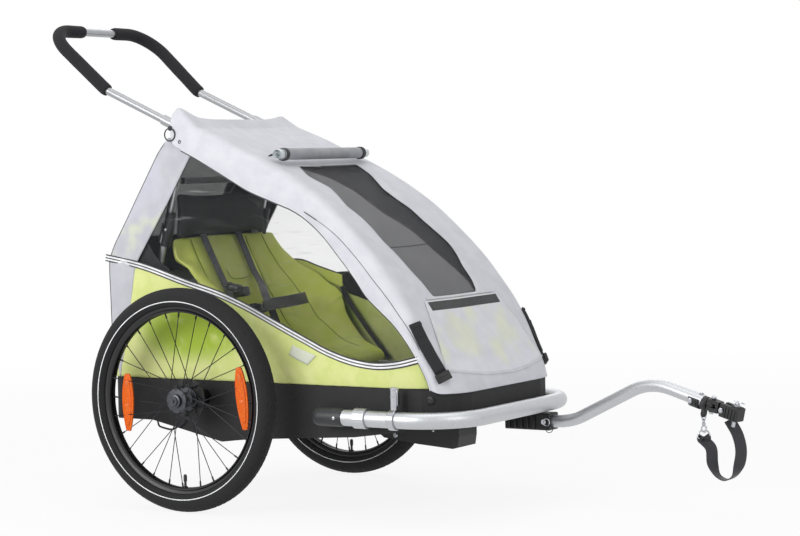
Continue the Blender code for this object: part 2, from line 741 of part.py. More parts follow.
def build_bumper():
    corners = [(BUMPER_REAR, -BUMPER_HALF, BUMPER_Z), (BUMPER_FRONT, -BUMPER_HALF, BUMPER_Z),
               (BUMPER_FRONT, BUMPER_HALF, BUMPER_Z), (BUMPER_REAR, BUMPER_HALF, BUMPER_Z)]
    part(tube(rounded(corners, BUMPER_CORNER), BUMPER_RADIUS), "bumper_tube", "aluminium", TRAILER)
    slip = BUMPER_RADIUS + GAP
    for name, side in SIDES.items():
        y = side * BUMPER_HALF
        outer = slip + CAP_WALL
        back = BUMPER_REAR - (CAP_LENGTH - CAP_CUP)
        profile = [(0.0, 0.0), (outer * 0.55, 0.0), (outer * 0.9, 0.006), (outer, 0.014), (outer, CAP_LENGTH), (slip, CAP_LENGTH),
                   (slip, CAP_LENGTH - CAP_CUP - GAP), (0.0, CAP_LENGTH - CAP_CUP - GAP)]
        cap = evaluated(turned(profile, (back, y, BUMPER_Z), X_AXIS, 20))
        part(cap, f"bumper_end_cap_{name}", "black_plastic", TRAILER)
        clamp_outer = slip + MOUNT_WALL
        face = side * (TUB_HALF + GAP)
        low_y, high_y = min(face, y - side * slip / 2), max(face, y - side * slip / 2)
        sleeve = rod((MOUNT_X - MOUNT_LENGTH / 2, y, BUMPER_Z), (MOUNT_X + MOUNT_LENGTH / 2, y, BUMPER_Z), clamp_outer, 20)
        lug = box((MOUNT_X - MOUNT_LENGTH / 2, low_y, BUMPER_Z - MOUNT_LUG / 2),
                  (MOUNT_X + MOUNT_LENGTH / 2, high_y, BUMPER_Z + MOUNT_LUG / 2))
        clamp = part(union(sleeve, lug), f"bumper_clamp_{name}", "black_plastic", TRAILER)
        cut(clamp, rod((MOUNT_X - MOUNT_LENGTH, y, BUMPER_Z), (MOUNT_X + MOUNT_LENGTH, y, BUMPER_Z), slip, 20))
    clip_half = FLAG_CLIP / 2
    clip = rod((FLAG_X - clip_half, -BUMPER_HALF, BUMPER_Z), (FLAG_X + clip_half, -BUMPER_HALF, BUMPER_Z), slip + MOUNT_WALL, 20)
    mast = rod((FLAG_X, -BUMPER_HALF, BUMPER_Z), (FLAG_X, -BUMPER_HALF, FLAG_TOP), FLAG_RADIUS)
    holder = part(union(clip, mast), "flag_holder", "black_plastic", TRAILER)
    well = BUMPER_Z + slip + MOUNT_WALL + FLAG_BORE
    cut(holder, rod((FLAG_X - FLAG_CLIP, -BUMPER_HALF, BUMPER_Z), (FLAG_X + FLAG_CLIP, -BUMPER_HALF, BUMPER_Z), slip, 20),
        rod((FLAG_X, -BUMPER_HALF, well), (FLAG_X, -BUMPER_HALF, FLAG_TOP + FLAG_BORE), FLAG_BORE, 12))


# Folding frame and push bar

def rail_y(z, x=0.0):
    """Sideways place of a rail, inside the body's side and its chamfered front corner."""
    (x0, y0), (x1, y1) = FRONT_CHAMFER
    slope = (y1 - y0) / (x1 - x0)
    corner = y0 + slope * (x - x0) - (HOOP_INSET + SHOULDER / 3) * math.hypot(1, slope)
    return min(body_half(z) - HOOP_INSET, corner)


def hoop_foot_y():
    """Sideways place of a roof rail's foot, clear of the tub's rounded front corner."""
    return tub_wall_at(HOOP_PIVOT[0] + FRAME_TUBE * 1.3) - FRAME_TUBE * 1.1 - HOOP_FOOT_CLEAR


def hoop_side(side):
    """Centre line of one roof rail, from its foot to the top rear corner."""
    line = offset(FRONT_LINE + CROWN, HOOP_INSET)[1:-1]
    foot = [(HOOP_PIVOT[0], side * hoop_foot_y(), HOOP_PIVOT[1])]
    rise = [(x, side * rail_y(z, x), z) for x, z in line]
    return foot + rise + [(CORNER[0], side * rail_y(CORNER[1]), CORNER[1])]


def build_frame():
    fold = axis_empty("roof_frame_axis", (HOOP_PIVOT[0], 0, HOOP_PIVOT[1]), TRAILER)
    corner_y = rail_y(CORNER[1])
    shapes = [evaluated(tube(hoop_side(side), FRAME_TUBE, 2)) for side in SIDES.values()]
    reach = corner_y + FRAME_TUBE * 0.3
    shapes.append(rod((CORNER[0], -reach, CORNER[1]), (CORNER[0], reach, CORNER[1]), FRAME_TUBE * 1.01, 16))
    wall = tub_wall_at(HOOP_PIVOT[0])
    for side in SIDES.values():
        shapes.append(rod((HOOP_PIVOT[0], side * (hoop_foot_y() - FRAME_TUBE), HOOP_PIVOT[1]),
                          (HOOP_PIVOT[0], side * (wall + TUB_WALL * 0.6), HOOP_PIVOT[1]), PIVOT_PIN, 12))
        shapes.append(rod((HOOP_PIVOT[0], side * (hoop_foot_y() - FRAME_TUBE * 1.1), HOOP_PIVOT[1]),
                          (HOOP_PIVOT[0], side * (hoop_foot_y() + FRAME_TUBE * 1.1), HOOP_PIVOT[1]), FRAME_TUBE * 1.3, 12))
    hoop = part(union(*shapes), "roof_hoop", "aluminium", fold)
    socket_y = corner_y - FRAME_TUBE - SIDE_GAP - SOCKET_RADIUS
    upright_y = corner_y - FRAME_TUBE - SIDE_GAP - UPRIGHT_TUBE
    deep = corner_y + FRAME_TUBE - LOCK_PIN_LENGTH - GAP
    cut(hoop, *[rod((CORNER[0], side * deep, CORNER[1]), (CORNER[0], side * (corner_y + 2 * FRAME_TUBE), CORNER[1]),
                    LOCK_PIN_RADIUS + GAP, 12) for side in SIDES.values()])

    tilt = axis_empty("push_bar_axis", (CORNER[0], 0, CORNER[1]), fold)
    away = (Vector(HANDLE_BEND) - Vector(CORNER)).normalized()
    bore_start = SOCKET_EYE + SOCKET_FLOOR
    slip = HANDLE_TUBE + GAP

    def out(distance, y):
        return (CORNER[0] + away.x * distance, y, CORNER[1] + away.y * distance)

    for name, side in SIDES.items():
        y = side * socket_y
        eye = rod((CORNER[0], y - SOCKET_RADIUS, CORNER[1]), (CORNER[0], y + SOCKET_RADIUS, CORNER[1]), SOCKET_EYE, 20)
        sleeve = rod(out(0, y), out(SOCKET_LENGTH, y), SOCKET_RADIUS * 0.998, 20)
        socket = part(union(eye, sleeve), f"handle_socket_{name}", "black_plastic", tilt)
        eye_bore = FRAME_TUBE * 1.01 + GAP
        cut(socket, rod((CORNER[0], y - 2 * SOCKET_RADIUS, CORNER[1]), (CORNER[0], y + 2 * SOCKET_RADIUS, CORNER[1]), eye_bore, 20),
            rod(out(bore_start, y), out(2 * SOCKET_LENGTH, y), slip, 20))

        pin = axis_empty(f"lock_pin_slide_{name}", (CORNER[0], side * corner_y, CORNER[1]), fold)
        inner = side * (corner_y + FRAME_TUBE - LOCK_PIN_LENGTH)
        outer = side * (body_half(CORNER[1]) + GAP * 3)
        shank = rod((CORNER[0], inner, CORNER[1]), (CORNER[0], outer + side * PULL_RING_WIRE, CORNER[1]), LOCK_PIN_RADIUS, 12)
        head = rod((CORNER[0], outer, CORNER[1]), (CORNER[0], outer + side * 2 * PULL_RING_WIRE, CORNER[1]), LOCK_PIN_HEAD, 16)
        pull = ring((CORNER[0], outer + side * 3 * PULL_RING_WIRE, CORNER[1] - PULL_RING), PULL_RING, PULL_RING_WIRE * 1.2, Y_AXIS)
        part(union(shank, head, pull), f"lock_pin_{name}", "dark_steel", pin)

    start = bore_start + GAP
    bend, top = HANDLE_BEND, HANDLE_TOP
    corners = [out(start, -socket_y), (bend[0], -socket_y, bend[1]), (top[0], -HANDLE_TOP_HALF, top[1]),
               (top[0], HANDLE_TOP_HALF, top[1]), (bend[0], socket_y, bend[1]), out(start, socket_y)]
    path = rounded(corners, HANDLE_CORNER, math.radians(16))
    part(tube(path, HANDLE_TUBE, 3), "push_bar", "aluminium", tilt)
    for name, side in SIDES.items():
        half = [p for p in path if p.y * side > 0]
        if side > 0:
            half.reverse()
        first = next(i for i, p in enumerate(half) if p.x < bend[0] - GRIP_START)
        line = half[first:] + [Vector((top[0], side * GRIP_BARE_HALF, top[1]))]
        lead = line[0] + (half[first - 1] - line[0]).normalized() * (half[first - 1] - line[0]).length * GRIP_LEAD
        grip = part(evaluated(tube([lead] + line, GRIP_RADIUS, 3)), f"grip_{name}", "foam", tilt)
        longer = [half[first - 1]] + line[:-1] + [Vector((top[0], side * GRIP_BARE_HALF * 0.5, top[1]))]
        cut(grip, evaluated(tube(longer, slip, 3)))
    build_uprights(upright_y)


def tub_wall_at(x):
    """Inner face of the tub's side wall at an x, in its rounded front corner too."""
    centre_x = TUB_FRONT - TUB_FRONT_CORNER
    if x <= centre_x:
        return TUB_HALF - TUB_WALL
    radius = TUB_FRONT_CORNER - TUB_WALL
    return TUB_HALF - TUB_FRONT_CORNER + math.sqrt(radius ** 2 - (x - centre_x) ** 2)


def build_uprights(y):
    """Both rear uprights with their knuckles, and the bar that carries the seat back."""
    hinge = axis_empty("rear_uprights_axis", (UPRIGHT_PIVOT[0], 0, UPRIGHT_PIVOT[1]), TRAILER)
    up = (Vector(CORNER) - Vector(KNUCKLE)).normalized()
    ahead = Vector((up.y, -up.x))
    tip = Vector(CORNER) + ahead * (SOCKET_EYE + UPRIGHT_TUBE + SIDE_GAP) + up * 0.002
    run = (tip - Vector(KNUCKLE)).normalized()
    shapes = []
    for side in SIDES.values():
        here = side * y
        line = [(*UPRIGHT_PIVOT,), KNUCKLE, tuple(tip)]
        shapes.append(evaluated(tube([(px, here, pz) for px, pz in line], UPRIGHT_TUBE)))
        low, high = Vector(KNUCKLE) - run * KNUCKLE_LENGTH / 2, Vector(KNUCKLE) + run * KNUCKLE_LENGTH / 2
        shapes.append(rod((low.x, here, low.y), (high.x, here, high.y), KNUCKLE_RADIUS, 12))
        half = UPRIGHT_EYE_WIDTH / 2
        shapes.append(rod((UPRIGHT_PIVOT[0], here - half, UPRIGHT_PIVOT[1]),
                          (UPRIGHT_PIVOT[0], here + half, UPRIGHT_PIVOT[1]), UPRIGHT_EYE, 16))
    share = (BACK_BAR_Z - KNUCKLE[1]) / (tip.y - KNUCKLE[1])
    bar_x = KNUCKLE[0] + (tip.x - KNUCKLE[0]) * share
    shapes.append(rod((bar_x, -y, BACK_BAR_Z), (bar_x, y, BACK_BAR_Z), BACK_BAR_RADIUS, 12))
    uprights = part(union(*shapes), "rear_uprights", "aluminium", hinge)
    reach = y + UPRIGHT_EYE_WIDTH
    cut(uprights, rod((UPRIGHT_PIVOT[0], -reach, UPRIGHT_PIVOT[1]), (UPRIGHT_PIVOT[0], reach, UPRIGHT_PIVOT[1]),
                      CROSS_TUBE + GAP))


# Seat and harness

def seat_top(x):
    (x1, z1), (x0, z0) = SEAT_TOP
    return z0 + (z1 - z0) * (x - x0) / (x1 - x0)


def build_seat():
    half = SEAT_HALF
    part(plate(SEAT_FRONT + SEAT_TOP + [SEAT_REAR], -half, half), "seat_base", "lime_fabric", TRAILER)
    foot = [(x, seat_top(x) + GAP) for x in BACK_FOOT]
    part(plate(foot + BACK_TOP, -half, half), "seat_back", "black_fabric", TRAILER)
    part(plate(HEADREST, -half, half), "headrest", "black_fabric", TRAILER)

    rise = (Vector(BACK_TOP[0]) - Vector(foot[1])).normalized()
    ahead = Vector((rise.y, -rise.x))
    slope = math.atan2(SEAT_TOP[0][1] - SEAT_TOP[1][1], SEAT_TOP[0][0] - SEAT_TOP[1][0])
    slant = Vector((math.cos(slope), math.sin(slope)))
    lift = Vector((-slant.y, slant.x))
    for name, side in SIDES.items():
        low = Vector(foot[1]) + ahead * GAP + rise * 0.016
        high = Vector(BACK_TOP[0]) + ahead * GAP - rise * 0.004
        outline = [tuple(low), tuple(low + ahead * WEBBING_THICK), tuple(high + ahead * WEBBING_THICK), tuple(high)]
        middle = side * SHOULDER_Y
        strap = plate(outline, middle - WEBBING / 2, middle + WEBBING / 2)
        part(strap, f"shoulder_strap_{name}", "black_fabric", TRAILER)
    at = Vector((LAP_X, seat_top(LAP_X)))
    rear = at - slant * WEBBING / 2 + lift * GAP
    front = at + slant * WEBBING / 2 + lift * GAP
    outline = [tuple(rear), tuple(front), tuple(front + lift * WEBBING_THICK), tuple(rear + lift * WEBBING_THICK)]
    part(plate(outline, -half + WEBBING / 4, half - WEBBING / 4), "lap_belt", "black_fabric", TRAILER)

    seat = at + lift * (WEBBING_THICK + 2 * GAP)
    base = Vector((seat.x, BUCKLE_Y, seat.y))
    axis = Vector((lift.x, 0, lift.y))
    bore = PRESS_RADIUS + GAP
    floor = BUCKLE_THICK * 0.4
    edge = BUCKLE_RADIUS * 0.15
    profile = [(0.0, floor), (bore, floor), (bore, BUCKLE_THICK), (BUCKLE_RADIUS - edge, BUCKLE_THICK),
               (BUCKLE_RADIUS, BUCKLE_THICK - edge), (BUCKLE_RADIUS, 0.0), (0.0, 0.0)]
    part(evaluated(turned(profile, base, axis, 20)), "buckle", "black_plastic", TRAILER)
    bottom = base + axis * (floor + PRESS_TRAVEL + GAP)
    slide = axis_empty("buckle_button_slide", bottom, TRAILER)
    top = base + axis * (BUCKLE_THICK + PRESS_TRAVEL * 0.5)
    part(rod(bottom, top, PRESS_RADIUS), "buckle_button", "black_plastic", slide)


# Canopy

def body_outline():
    return FRONT_LINE + CROWN + REAR_LINE


def tapered(obj, towards=None):
    """Narrows a solid with height, so that its sides follow the body. The sides keep their depth below it."""
    matrix = obj.matrix_world.copy()
    back = matrix.inverted()
    for vertex in obj.data.vertices:
        point = matrix @ vertex.co
        change = body_half(point.z) - BODY_HALF
        point.y += math.copysign(1.0, point.y) * change
        vertex.co = back @ point
    return obj


def build_canopy():
    shape = tapered(plate(body_outline(), -BODY_HALF, BODY_HALF))
    shape.data.transform(shape.matrix_world)
    shape.matrix_world = Matrix.Identity(4)
    work = bmesh.new()
    work.from_mesh(shape.data)
    bmesh.ops.dissolve_limit(work, angle_limit=math.radians(0.2), verts=work.verts, edges=work.edges)
    (x0, y0), (x1, y1) = FRONT_CHAMFER
    for side in SIDES.values():
        normal = Vector((y0 - y1, side * (x1 - x0), 0)).normalized()
        cut_through = bmesh.ops.bisect_plane(
            work, geom=work.verts[:] + work.edges[:] + work.faces[:], dist=1e-7,
            plane_co=(x0, side * y0, 0), plane_no=normal, clear_outer=True,
        )
        edges = [e for e in cut_through["geom_cut"] if isinstance(e, bmesh.types.BMEdge)]
        bmesh.ops.edgeloop_fill(work, edges=edges)
    low = min(v.co.z for v in work.verts)
    bottoms = [f for f in work.faces if all(v.co.z < low + 1e-5 for v in f.verts)]
    bmesh.ops.delete(work, geom=bottoms, context="FACES_ONLY")
    bmesh.ops.recalc_face_normals(work, faces=work.faces)
    if sum(f.normal.z * f.calc_area() for f in work.faces) < 0:
        bmesh.ops.reverse_faces(work, faces=work.faces)
    work.to_mesh(shape.data)
    work.free()
    canopy = part(shape, "canopy_cover", "grey_fabric", TRAILER)
    rounding = canopy.modifiers.new("shoulder", "BEVEL")
    rounding.width = SHOULDER
    rounding.segments = 2
    rounding.limit_method = "ANGLE"
    rounding.angle_limit = math.radians(60)
    shell = canopy.modifiers.new("shell", "SOLIDIFY")
    shell.thickness = FABRIC
    shell.offset = -1
    shell.use_even_offset = True

    wide = BODY_HALF * 1.2
    cutters = []
    socket_y = rail_y(CORNER[1]) - FRAME_TUBE - SIDE_GAP - SOCKET_RADIUS
    for side in SIDES.values():
        inner, outer = socket_y - SOCKET_RADIUS - SIDE_GAP, socket_y + SOCKET_RADIUS + SIDE_GAP
        cutters.append(rod((CORNER[0], side * inner, CORNER[1]), (CORNER[0], side * outer, CORNER[1]), SLOT_RADIUS, 24))
        wall = body_half(CORNER[1])
        cutters.append(rod((CORNER[0], side * (wall - 3 * FABRIC), CORNER[1]), (CORNER[0], side * (wall + 3 * FABRIC), CORNER[1]),
                           LOCK_PIN_RADIUS + 3 * GAP, 12))
    cutters.append(plate(WINDOW, -wide, wide))
    opening = CROWN[MESH_FROM:MESH_TO + 1]
    cutters.append(plate(offset(opening, 6 * FABRIC) + offset(opening, -6 * FABRIC)[::-1], -MESH_HALF, MESH_HALF))
    cut(canopy, *cutters)

    inset = GAP * 1.5
    skin = (FABRIC - FILM) / 2
    window = offset(WINDOW, -inset, cyclic=True)
    for name, side in SIDES.items():
        inner, outer = BODY_HALF - skin - FILM, BODY_HALF - skin
        film = plate(window, min(side * inner, side * outer), max(side * inner, side * outer))
        part(tapered(film), f"side_window_{name}", "clear_film", TRAILER)
    ends = shortened(opening, inset)
    strip = offset(ends, skin)[:] + offset(ends, skin + FILM)[::-1]
    part(plate(strip, -MESH_HALF + inset, MESH_HALF - inset), "front_mesh", "mesh_fabric", TRAILER)

    slope = (Vector(CROWN[ROLL_AT_CROWN + 1]) - Vector(CROWN[ROLL_AT_CROWN - 1])).normalized()
    normal = Vector((slope.y, -slope.x))
    centre = Vector(CROWN[ROLL_AT_CROWN]) + normal * (ROLL_RADIUS + GAP)
    part(rod((centre.x, -ROLL_HALF, centre.y), (centre.x, ROLL_HALF, centre.y), ROLL_RADIUS, 20), "cover_roll",
         "grey_fabric", TRAILER)


def shortened(line, distance):
    """A line with both of its ends drawn in."""
    line = [Vector(p) for p in line]
    line[0] = line[0] + (line[1] - line[0]).normalized() * distance
    line[-1] = line[-1] + (line[-2] - line[-1]).normalized() * distance
    return [tuple(p) for p in line]


# Tow arm, hitch and safety strap

def build_tow():
    top = keel(RECEIVER_REAR) - GAP
    front = RECEIVER_REAR + RECEIVER_LENGTH
    block = box((RECEIVER_REAR, ARM_Y - RECEIVER_HALF, RECEIVER_FLOOR), (front, ARM_Y + RECEIVER_HALF, top), 0.002)
    receiver = part(block, "arm_receiver", "black_plastic", TRAILER)
    slip = ARM_RADIUS + GAP
    pin_slip = RECEIVER_PIN_RADIUS + GAP
    pin_line = [(RECEIVER_PIN_X, ARM_Y - 2 * RECEIVER_HALF, ARM_Z), (RECEIVER_PIN_X, ARM_Y + 2 * RECEIVER_HALF, ARM_Z)]
    cut(receiver, rod((ARM_START - GAP, ARM_Y, ARM_Z), (front + ARM_RADIUS, ARM_Y, ARM_Z), slip, 20), rod(*pin_line, pin_slip, 12))

    ahead = Matrix.Rotation(HITCH_YAW, 3, "Z") @ Matrix.Rotation(HITCH_TILT, 3, "Y") @ X_AXIS
    end = Vector(HITCH) - ahead * GAP * 10
    crest = Vector(HITCH) - ahead * ARM_STRAIGHT
    corners = [(ARM_START, ARM_Y, ARM_Z), (ARM_KNEE_X, ARM_Y, ARM_Z), tuple(crest), tuple(end)]
    arm = part(evaluated(tube(rounded(corners, ARM_BEND, math.radians(9)), ARM_RADIUS)), "tow_arm", "aluminium", TRAILER)
    cut(arm, rod(*pin_line, pin_slip, 12))

    slide = axis_empty("receiver_pin_slide", (RECEIVER_PIN_X, ARM_Y - RECEIVER_HALF, ARM_Z), TRAILER)
    face = ARM_Y - RECEIVER_HALF - GAP
    shank = rod((RECEIVER_PIN_X, face - 0.002, ARM_Z), (RECEIVER_PIN_X, ARM_Y + RECEIVER_HALF + 0.002, ARM_Z), RECEIVER_PIN_RADIUS, 12)
    head = rod((RECEIVER_PIN_X, face - 0.004, ARM_Z), (RECEIVER_PIN_X, face, ARM_Z), 2 * RECEIVER_PIN_RADIUS, 16)
    loop = ring((RECEIVER_PIN_X + SPLIT_RING, face - 0.0048, ARM_Z), SPLIT_RING, 0.0013, Y_AXIS)
    part(union(shank, head, loop), "receiver_pin", "bright_steel", slide)
    build_hitch()
    build_strap()


def build_hitch():
    """Clamp, yaw and pitch pieces, laid out along the hitch's own X from the arm's end."""
    base = axis_empty("hitch_frame", HITCH, TRAILER, (0.0, HITCH_TILT, HITCH_YAW))
    PLACES["hitch_frame"] = Vector()
    cuff = rod((CUFF_REAR, 0, 0), (CUFF_FRONT, 0, 0), CUFF_RADIUS, 16)
    tongue = box((0, -TONGUE_WIDTH / 2, -TONGUE_HALF), (YAW_X + TONGUE_WIDTH / 2, TONGUE_WIDTH / 2, TONGUE_HALF))
    lug_z = -CUFF_RADIUS - LUG_DROP
    lug = box((LUG_X - HOOK_WIRE, -LUG_HALF, lug_z - LUG_HALF), (LUG_X + HOOK_WIRE, LUG_HALF, -ARM_RADIUS - HOOK_WIRE))
    clamp = part(union(cuff, tongue, lug), "hitch_clamp", "black_plastic", base)
    cut(clamp, rod((CUFF_REAR * 1.5, 0, 0), (-2 * GAP, 0, 0), ARM_RADIUS + GAP, 20),
        rod((YAW_X, 0, -JAW_HALF), (YAW_X, 0, JAW_HALF), HITCH_BOLT + GAP),
        rod((LUG_X - LUG_HALF, 0, lug_z), (LUG_X + LUG_HALF, 0, lug_z), HOOK_WIRE + 5 * GAP, 12))

    yaw = axis_empty("hitch_yaw_axis", (YAW_X, 0, 0), base)
    slot_end = YAW_X + TONGUE_WIDTH * 0.75 + GAP
    jaws = box((YAW_X - TONGUE_WIDTH * 0.45, -TONGUE_WIDTH / 2, -JAW_HALF), (PITCH_X - JAW_CLEAR, TONGUE_WIDTH / 2, JAW_HALF))
    gap_tool = box((YAW_X - TONGUE_WIDTH, -TONGUE_WIDTH, -TONGUE_HALF - GAP), (slot_end, TONGUE_WIDTH, TONGUE_HALF + GAP))
    jaws = minus(jaws, gap_tool)
    bolt = rod((YAW_X, 0, -JAW_HALF - 0.003), (YAW_X, 0, JAW_HALF + 0.003), HITCH_BOLT, 16)
    nose = box((slot_end + 0.001, -0.005, -JAW_HALF * 0.7), (PITCH_X + 0.008, 0.005, JAW_HALF * 0.7))
    knuckle = part(union(jaws, bolt, nose), "hitch_knuckle", "dark_steel", yaw)
    cut(knuckle, rod((PITCH_X, -HITCH_HALF, 0), (PITCH_X, HITCH_HALF, 0), HITCH_BOLT + GAP))

    pitch = axis_empty("hitch_pitch_axis", (PITCH_X, 0, 0), yaw)
    body = box((PITCH_X - 0.006, -HITCH_HALF, -HITCH_HALF), (HITCH_END, HITCH_HALF, HITCH_HALF), 0.0014)
    body = minus(body, box((PITCH_X - 0.02, -0.005 - GAP * 2, -HITCH_HALF * 2), (PITCH_X + 0.0165, 0.005 + GAP * 2, HITCH_HALF * 2)))
    cross = rod((PITCH_X, -HITCH_HALF - 0.002, 0), (PITCH_X, HITCH_HALF + 0.002, 0), HITCH_BOLT, 16)
    block = part(union(body, cross), "hitch_block", "dark_steel", pitch)
    cut(block, rod((HITCH_PIN_X, 0, -HITCH_HALF * 2), (HITCH_PIN_X, 0, HITCH_HALF * 2), HITCH_BOLT + GAP))

    slide = axis_empty("hitch_pin_slide", (HITCH_PIN_X, 0, 0), pitch)
    top = HITCH_HALF + GAP
    shank = rod((HITCH_PIN_X, 0, top - HITCH_PIN_LENGTH), (HITCH_PIN_X, 0, top + 0.002), HITCH_BOLT, 16)
    head = rod((HITCH_PIN_X, 0, top), (HITCH_PIN_X, 0, top + 0.004), HITCH_BOLT * 1.8, 16)
    part(union(shank, head), "hitch_pin", "bright_steel", slide)


def build_strap():
    turn = Matrix.Rotation(HITCH_YAW, 3, "Z") @ Matrix.Rotation(HITCH_TILT, 3, "Y")
    x, strap_y, top = Vector(HITCH) + turn @ Vector((LUG_X, 0, -CUFF_RADIUS - LUG_DROP))
    low = top - HOOK_DROP
    loop = [(x - HOOK_HALF, strap_y, low), (x - HOOK_HALF, strap_y, top), (x + HOOK_HALF, strap_y, top), (x + HOOK_HALF, strap_y, low)]
    part(evaluated(tube(rounded(loop, HOOK_HALF * 0.95, math.radians(30), cyclic=True), HOOK_WIRE, 2, cyclic=True)),
         "snap_hook", "bright_steel", TRAILER)
    clear = HOOK_WIRE + RING_WIRE + GAP
    bar = low + clear
    frame = [(x, strap_y - RING_HALF, bar), (x, strap_y + RING_HALF, bar), (x, strap_y + RING_HALF, bar - RING_DROP),
             (x, strap_y - RING_HALF, bar - RING_DROP)]
    part(evaluated(tube(rounded(frame, 0.004, math.radians(30), cyclic=True), RING_WIRE, 2, cyclic=True)), "d_ring",
         "bright_steel", TRAILER)
    centre = Vector((x, bar - RING_DROP))
    radius = RING_WIRE + GAP + STRAP_THICK / 2
    eye = [tuple(centre + Vector((math.cos(math.radians(a)), math.sin(math.radians(a)))) * radius) for a in range(-60, 241, 30)]
    line = [tuple(p) for p in rounded([(px, 0, pz) for px, pz in eye[-1:] + STRAP_LINE], 0.03, math.radians(15))]
    line = eye + [(p[0], p[2]) for p in line[1:]]
    outline = offset(line, STRAP_THICK / 2) + offset(line, -STRAP_THICK / 2)[::-1]
    part(plate(outline, strap_y - WEBBING / 2, strap_y + WEBBING / 2), "safety_strap", "black_fabric", TRAILER)


clear_scene()
PARTS = collection("child_bike_trailer")
CUTTERS = collection("cutters", hidden=True)
TRAILER = axis_empty("trailer", (0, 0, 0))
build_floor()
for side_name, side_sign in SIDES.items():
    build_axle_side(side_name, side_sign)
    build_wheel(side_name, side_sign)
build_brake()
build_bumper()
build_frame()
build_seat()
build_canopy()
build_tow()
TRAILER.location = (AXLE_X, 0, WHEEL_RADIUS - AXLE_HEIGHT)
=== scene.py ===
"""Looks of a two-wheeled child bike trailer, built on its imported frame."""

import json
import math

import bmesh
import bpy
import numpy as np
from mathutils import Matrix, Vector, noise
from mathutils.bvhtree import BVHTree

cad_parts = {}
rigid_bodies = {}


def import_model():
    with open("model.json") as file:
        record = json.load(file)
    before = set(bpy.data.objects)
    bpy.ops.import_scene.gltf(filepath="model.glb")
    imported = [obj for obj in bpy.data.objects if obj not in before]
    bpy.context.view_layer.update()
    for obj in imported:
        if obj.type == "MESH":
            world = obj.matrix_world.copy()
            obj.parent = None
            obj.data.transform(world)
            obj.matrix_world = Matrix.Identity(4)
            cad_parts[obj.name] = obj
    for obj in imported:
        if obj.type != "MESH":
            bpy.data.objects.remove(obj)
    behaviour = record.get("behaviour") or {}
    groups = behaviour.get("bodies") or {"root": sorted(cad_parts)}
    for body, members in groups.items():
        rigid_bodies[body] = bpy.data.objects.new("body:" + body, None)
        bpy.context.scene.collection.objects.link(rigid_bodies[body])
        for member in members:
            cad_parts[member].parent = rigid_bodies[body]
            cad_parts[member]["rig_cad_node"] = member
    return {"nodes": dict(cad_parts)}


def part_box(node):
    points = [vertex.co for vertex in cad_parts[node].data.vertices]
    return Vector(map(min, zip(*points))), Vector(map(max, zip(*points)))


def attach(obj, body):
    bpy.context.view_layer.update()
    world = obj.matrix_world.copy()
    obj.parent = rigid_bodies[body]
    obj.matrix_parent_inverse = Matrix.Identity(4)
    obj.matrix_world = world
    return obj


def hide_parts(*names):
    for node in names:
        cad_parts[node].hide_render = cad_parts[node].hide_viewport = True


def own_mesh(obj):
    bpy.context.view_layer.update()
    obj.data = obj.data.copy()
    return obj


for leftover in list(bpy.data.objects):
    bpy.data.objects.remove(leftover)
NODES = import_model()["nodes"]
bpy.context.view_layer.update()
_low, _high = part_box("tyre_right")
AXLE = Vector(((_low.x + _high.x) / 2, 0, 0))  # own pieces are measured from below the axle
SIDES = {"right": -1.0, "left": 1.0}
X, Y, Z = (Vector(row) for row in Matrix.Identity(3))
TURN = 2 * math.pi


# Curves

def arc_of(points):
    return np.r_[0, np.cumsum(np.linalg.norm(np.diff(points, axis=0), axis=1))]


def columns_at(where, key, table):
    return np.stack([np.interp(where, key, column) for column in table.T], 1)


def spline(points, count):
    """Evenly spaced points on a smooth curve through the given ones."""
    p = np.asarray(points, float)
    t = arc_of(p)
    slope = np.gradient(p, t, axis=0)
    fine = np.linspace(0, t[-1], 14 * len(p) + count)
    i = np.clip(np.searchsorted(t, fine, "right") - 1, 0, len(t) - 2)
    h = (t[i + 1] - t[i])[:, None]
    s = (fine - t[i])[:, None] / h
    q = ((2 * s**3 - 3 * s**2 + 1) * p[i] + (s**3 - 2 * s**2 + s) * h * slope[i]
         + (3 * s**2 - 2 * s**3) * p[i + 1] + (s**3 - s**2) * h * slope[i + 1])
    arc = arc_of(q)
    return columns_at(np.linspace(0, arc[-1], count), arc, q)


def rounded(points, radius, step=math.radians(9)):
    """A polyline whose corners are arcs."""
    p = [Vector(q) for q in points]
    out = [p[0]]
    for a, b, c in zip(p, p[1:], p[2:]):
        u, v = (a - b).normalized(), (c - b).normalized()
        turn = math.pi - u.angle(v)
        if turn < 1e-3:
            out.append(b)
            continue
        reach = min(radius * math.tan(turn / 2), 0.49 * (a - b).length, 0.49 * (c - b).length)
        r = reach / math.tan(turn / 2)
        centre = b + (u + v).normalized() * (r / math.cos(turn / 2))
        start, end = ((b + way * reach - centre).normalized() for way in (u, v))
        count = max(2, math.ceil(turn / step))
        out += [centre + start.slerp(end, k / count) * r for k in range(count + 1)]
    return np.array([tuple(q) for q in out + p[-1:]])


def even(points, spacing):
    """The same polyline with points at about one spacing."""
    p = np.asarray(points, float)
    arc = arc_of(p)
    return columns_at(np.linspace(0, arc[-1], max(2, int(round(arc[-1] / spacing)) + 1)), arc, p)


def ease(x, low, high):
    t = np.clip((np.asarray(x, float) - low) / (high - low), 0, 1)
    return t * t * (3 - 2 * t)


def unit(rows):
    return rows / np.linalg.norm(rows, axis=-1, keepdims=True)


def round_points(count, radius=1.0):
    angles = np.arange(count) * TURN / count
    return np.stack([np.cos(angles), np.sin(angles)], 1) * radius


def noise_at(points, scale, seed=0.0, stretch=(1, 1, 1)):
    flat = np.asarray(points, float).reshape(-1, 3) * scale * np.asarray(stretch, float)
    out = np.array([noise.noise(Vector(q) + Vector((seed, 3.1 * seed, -seed))) for q in flat])
    return out.reshape(np.asarray(points).shape[:-1])


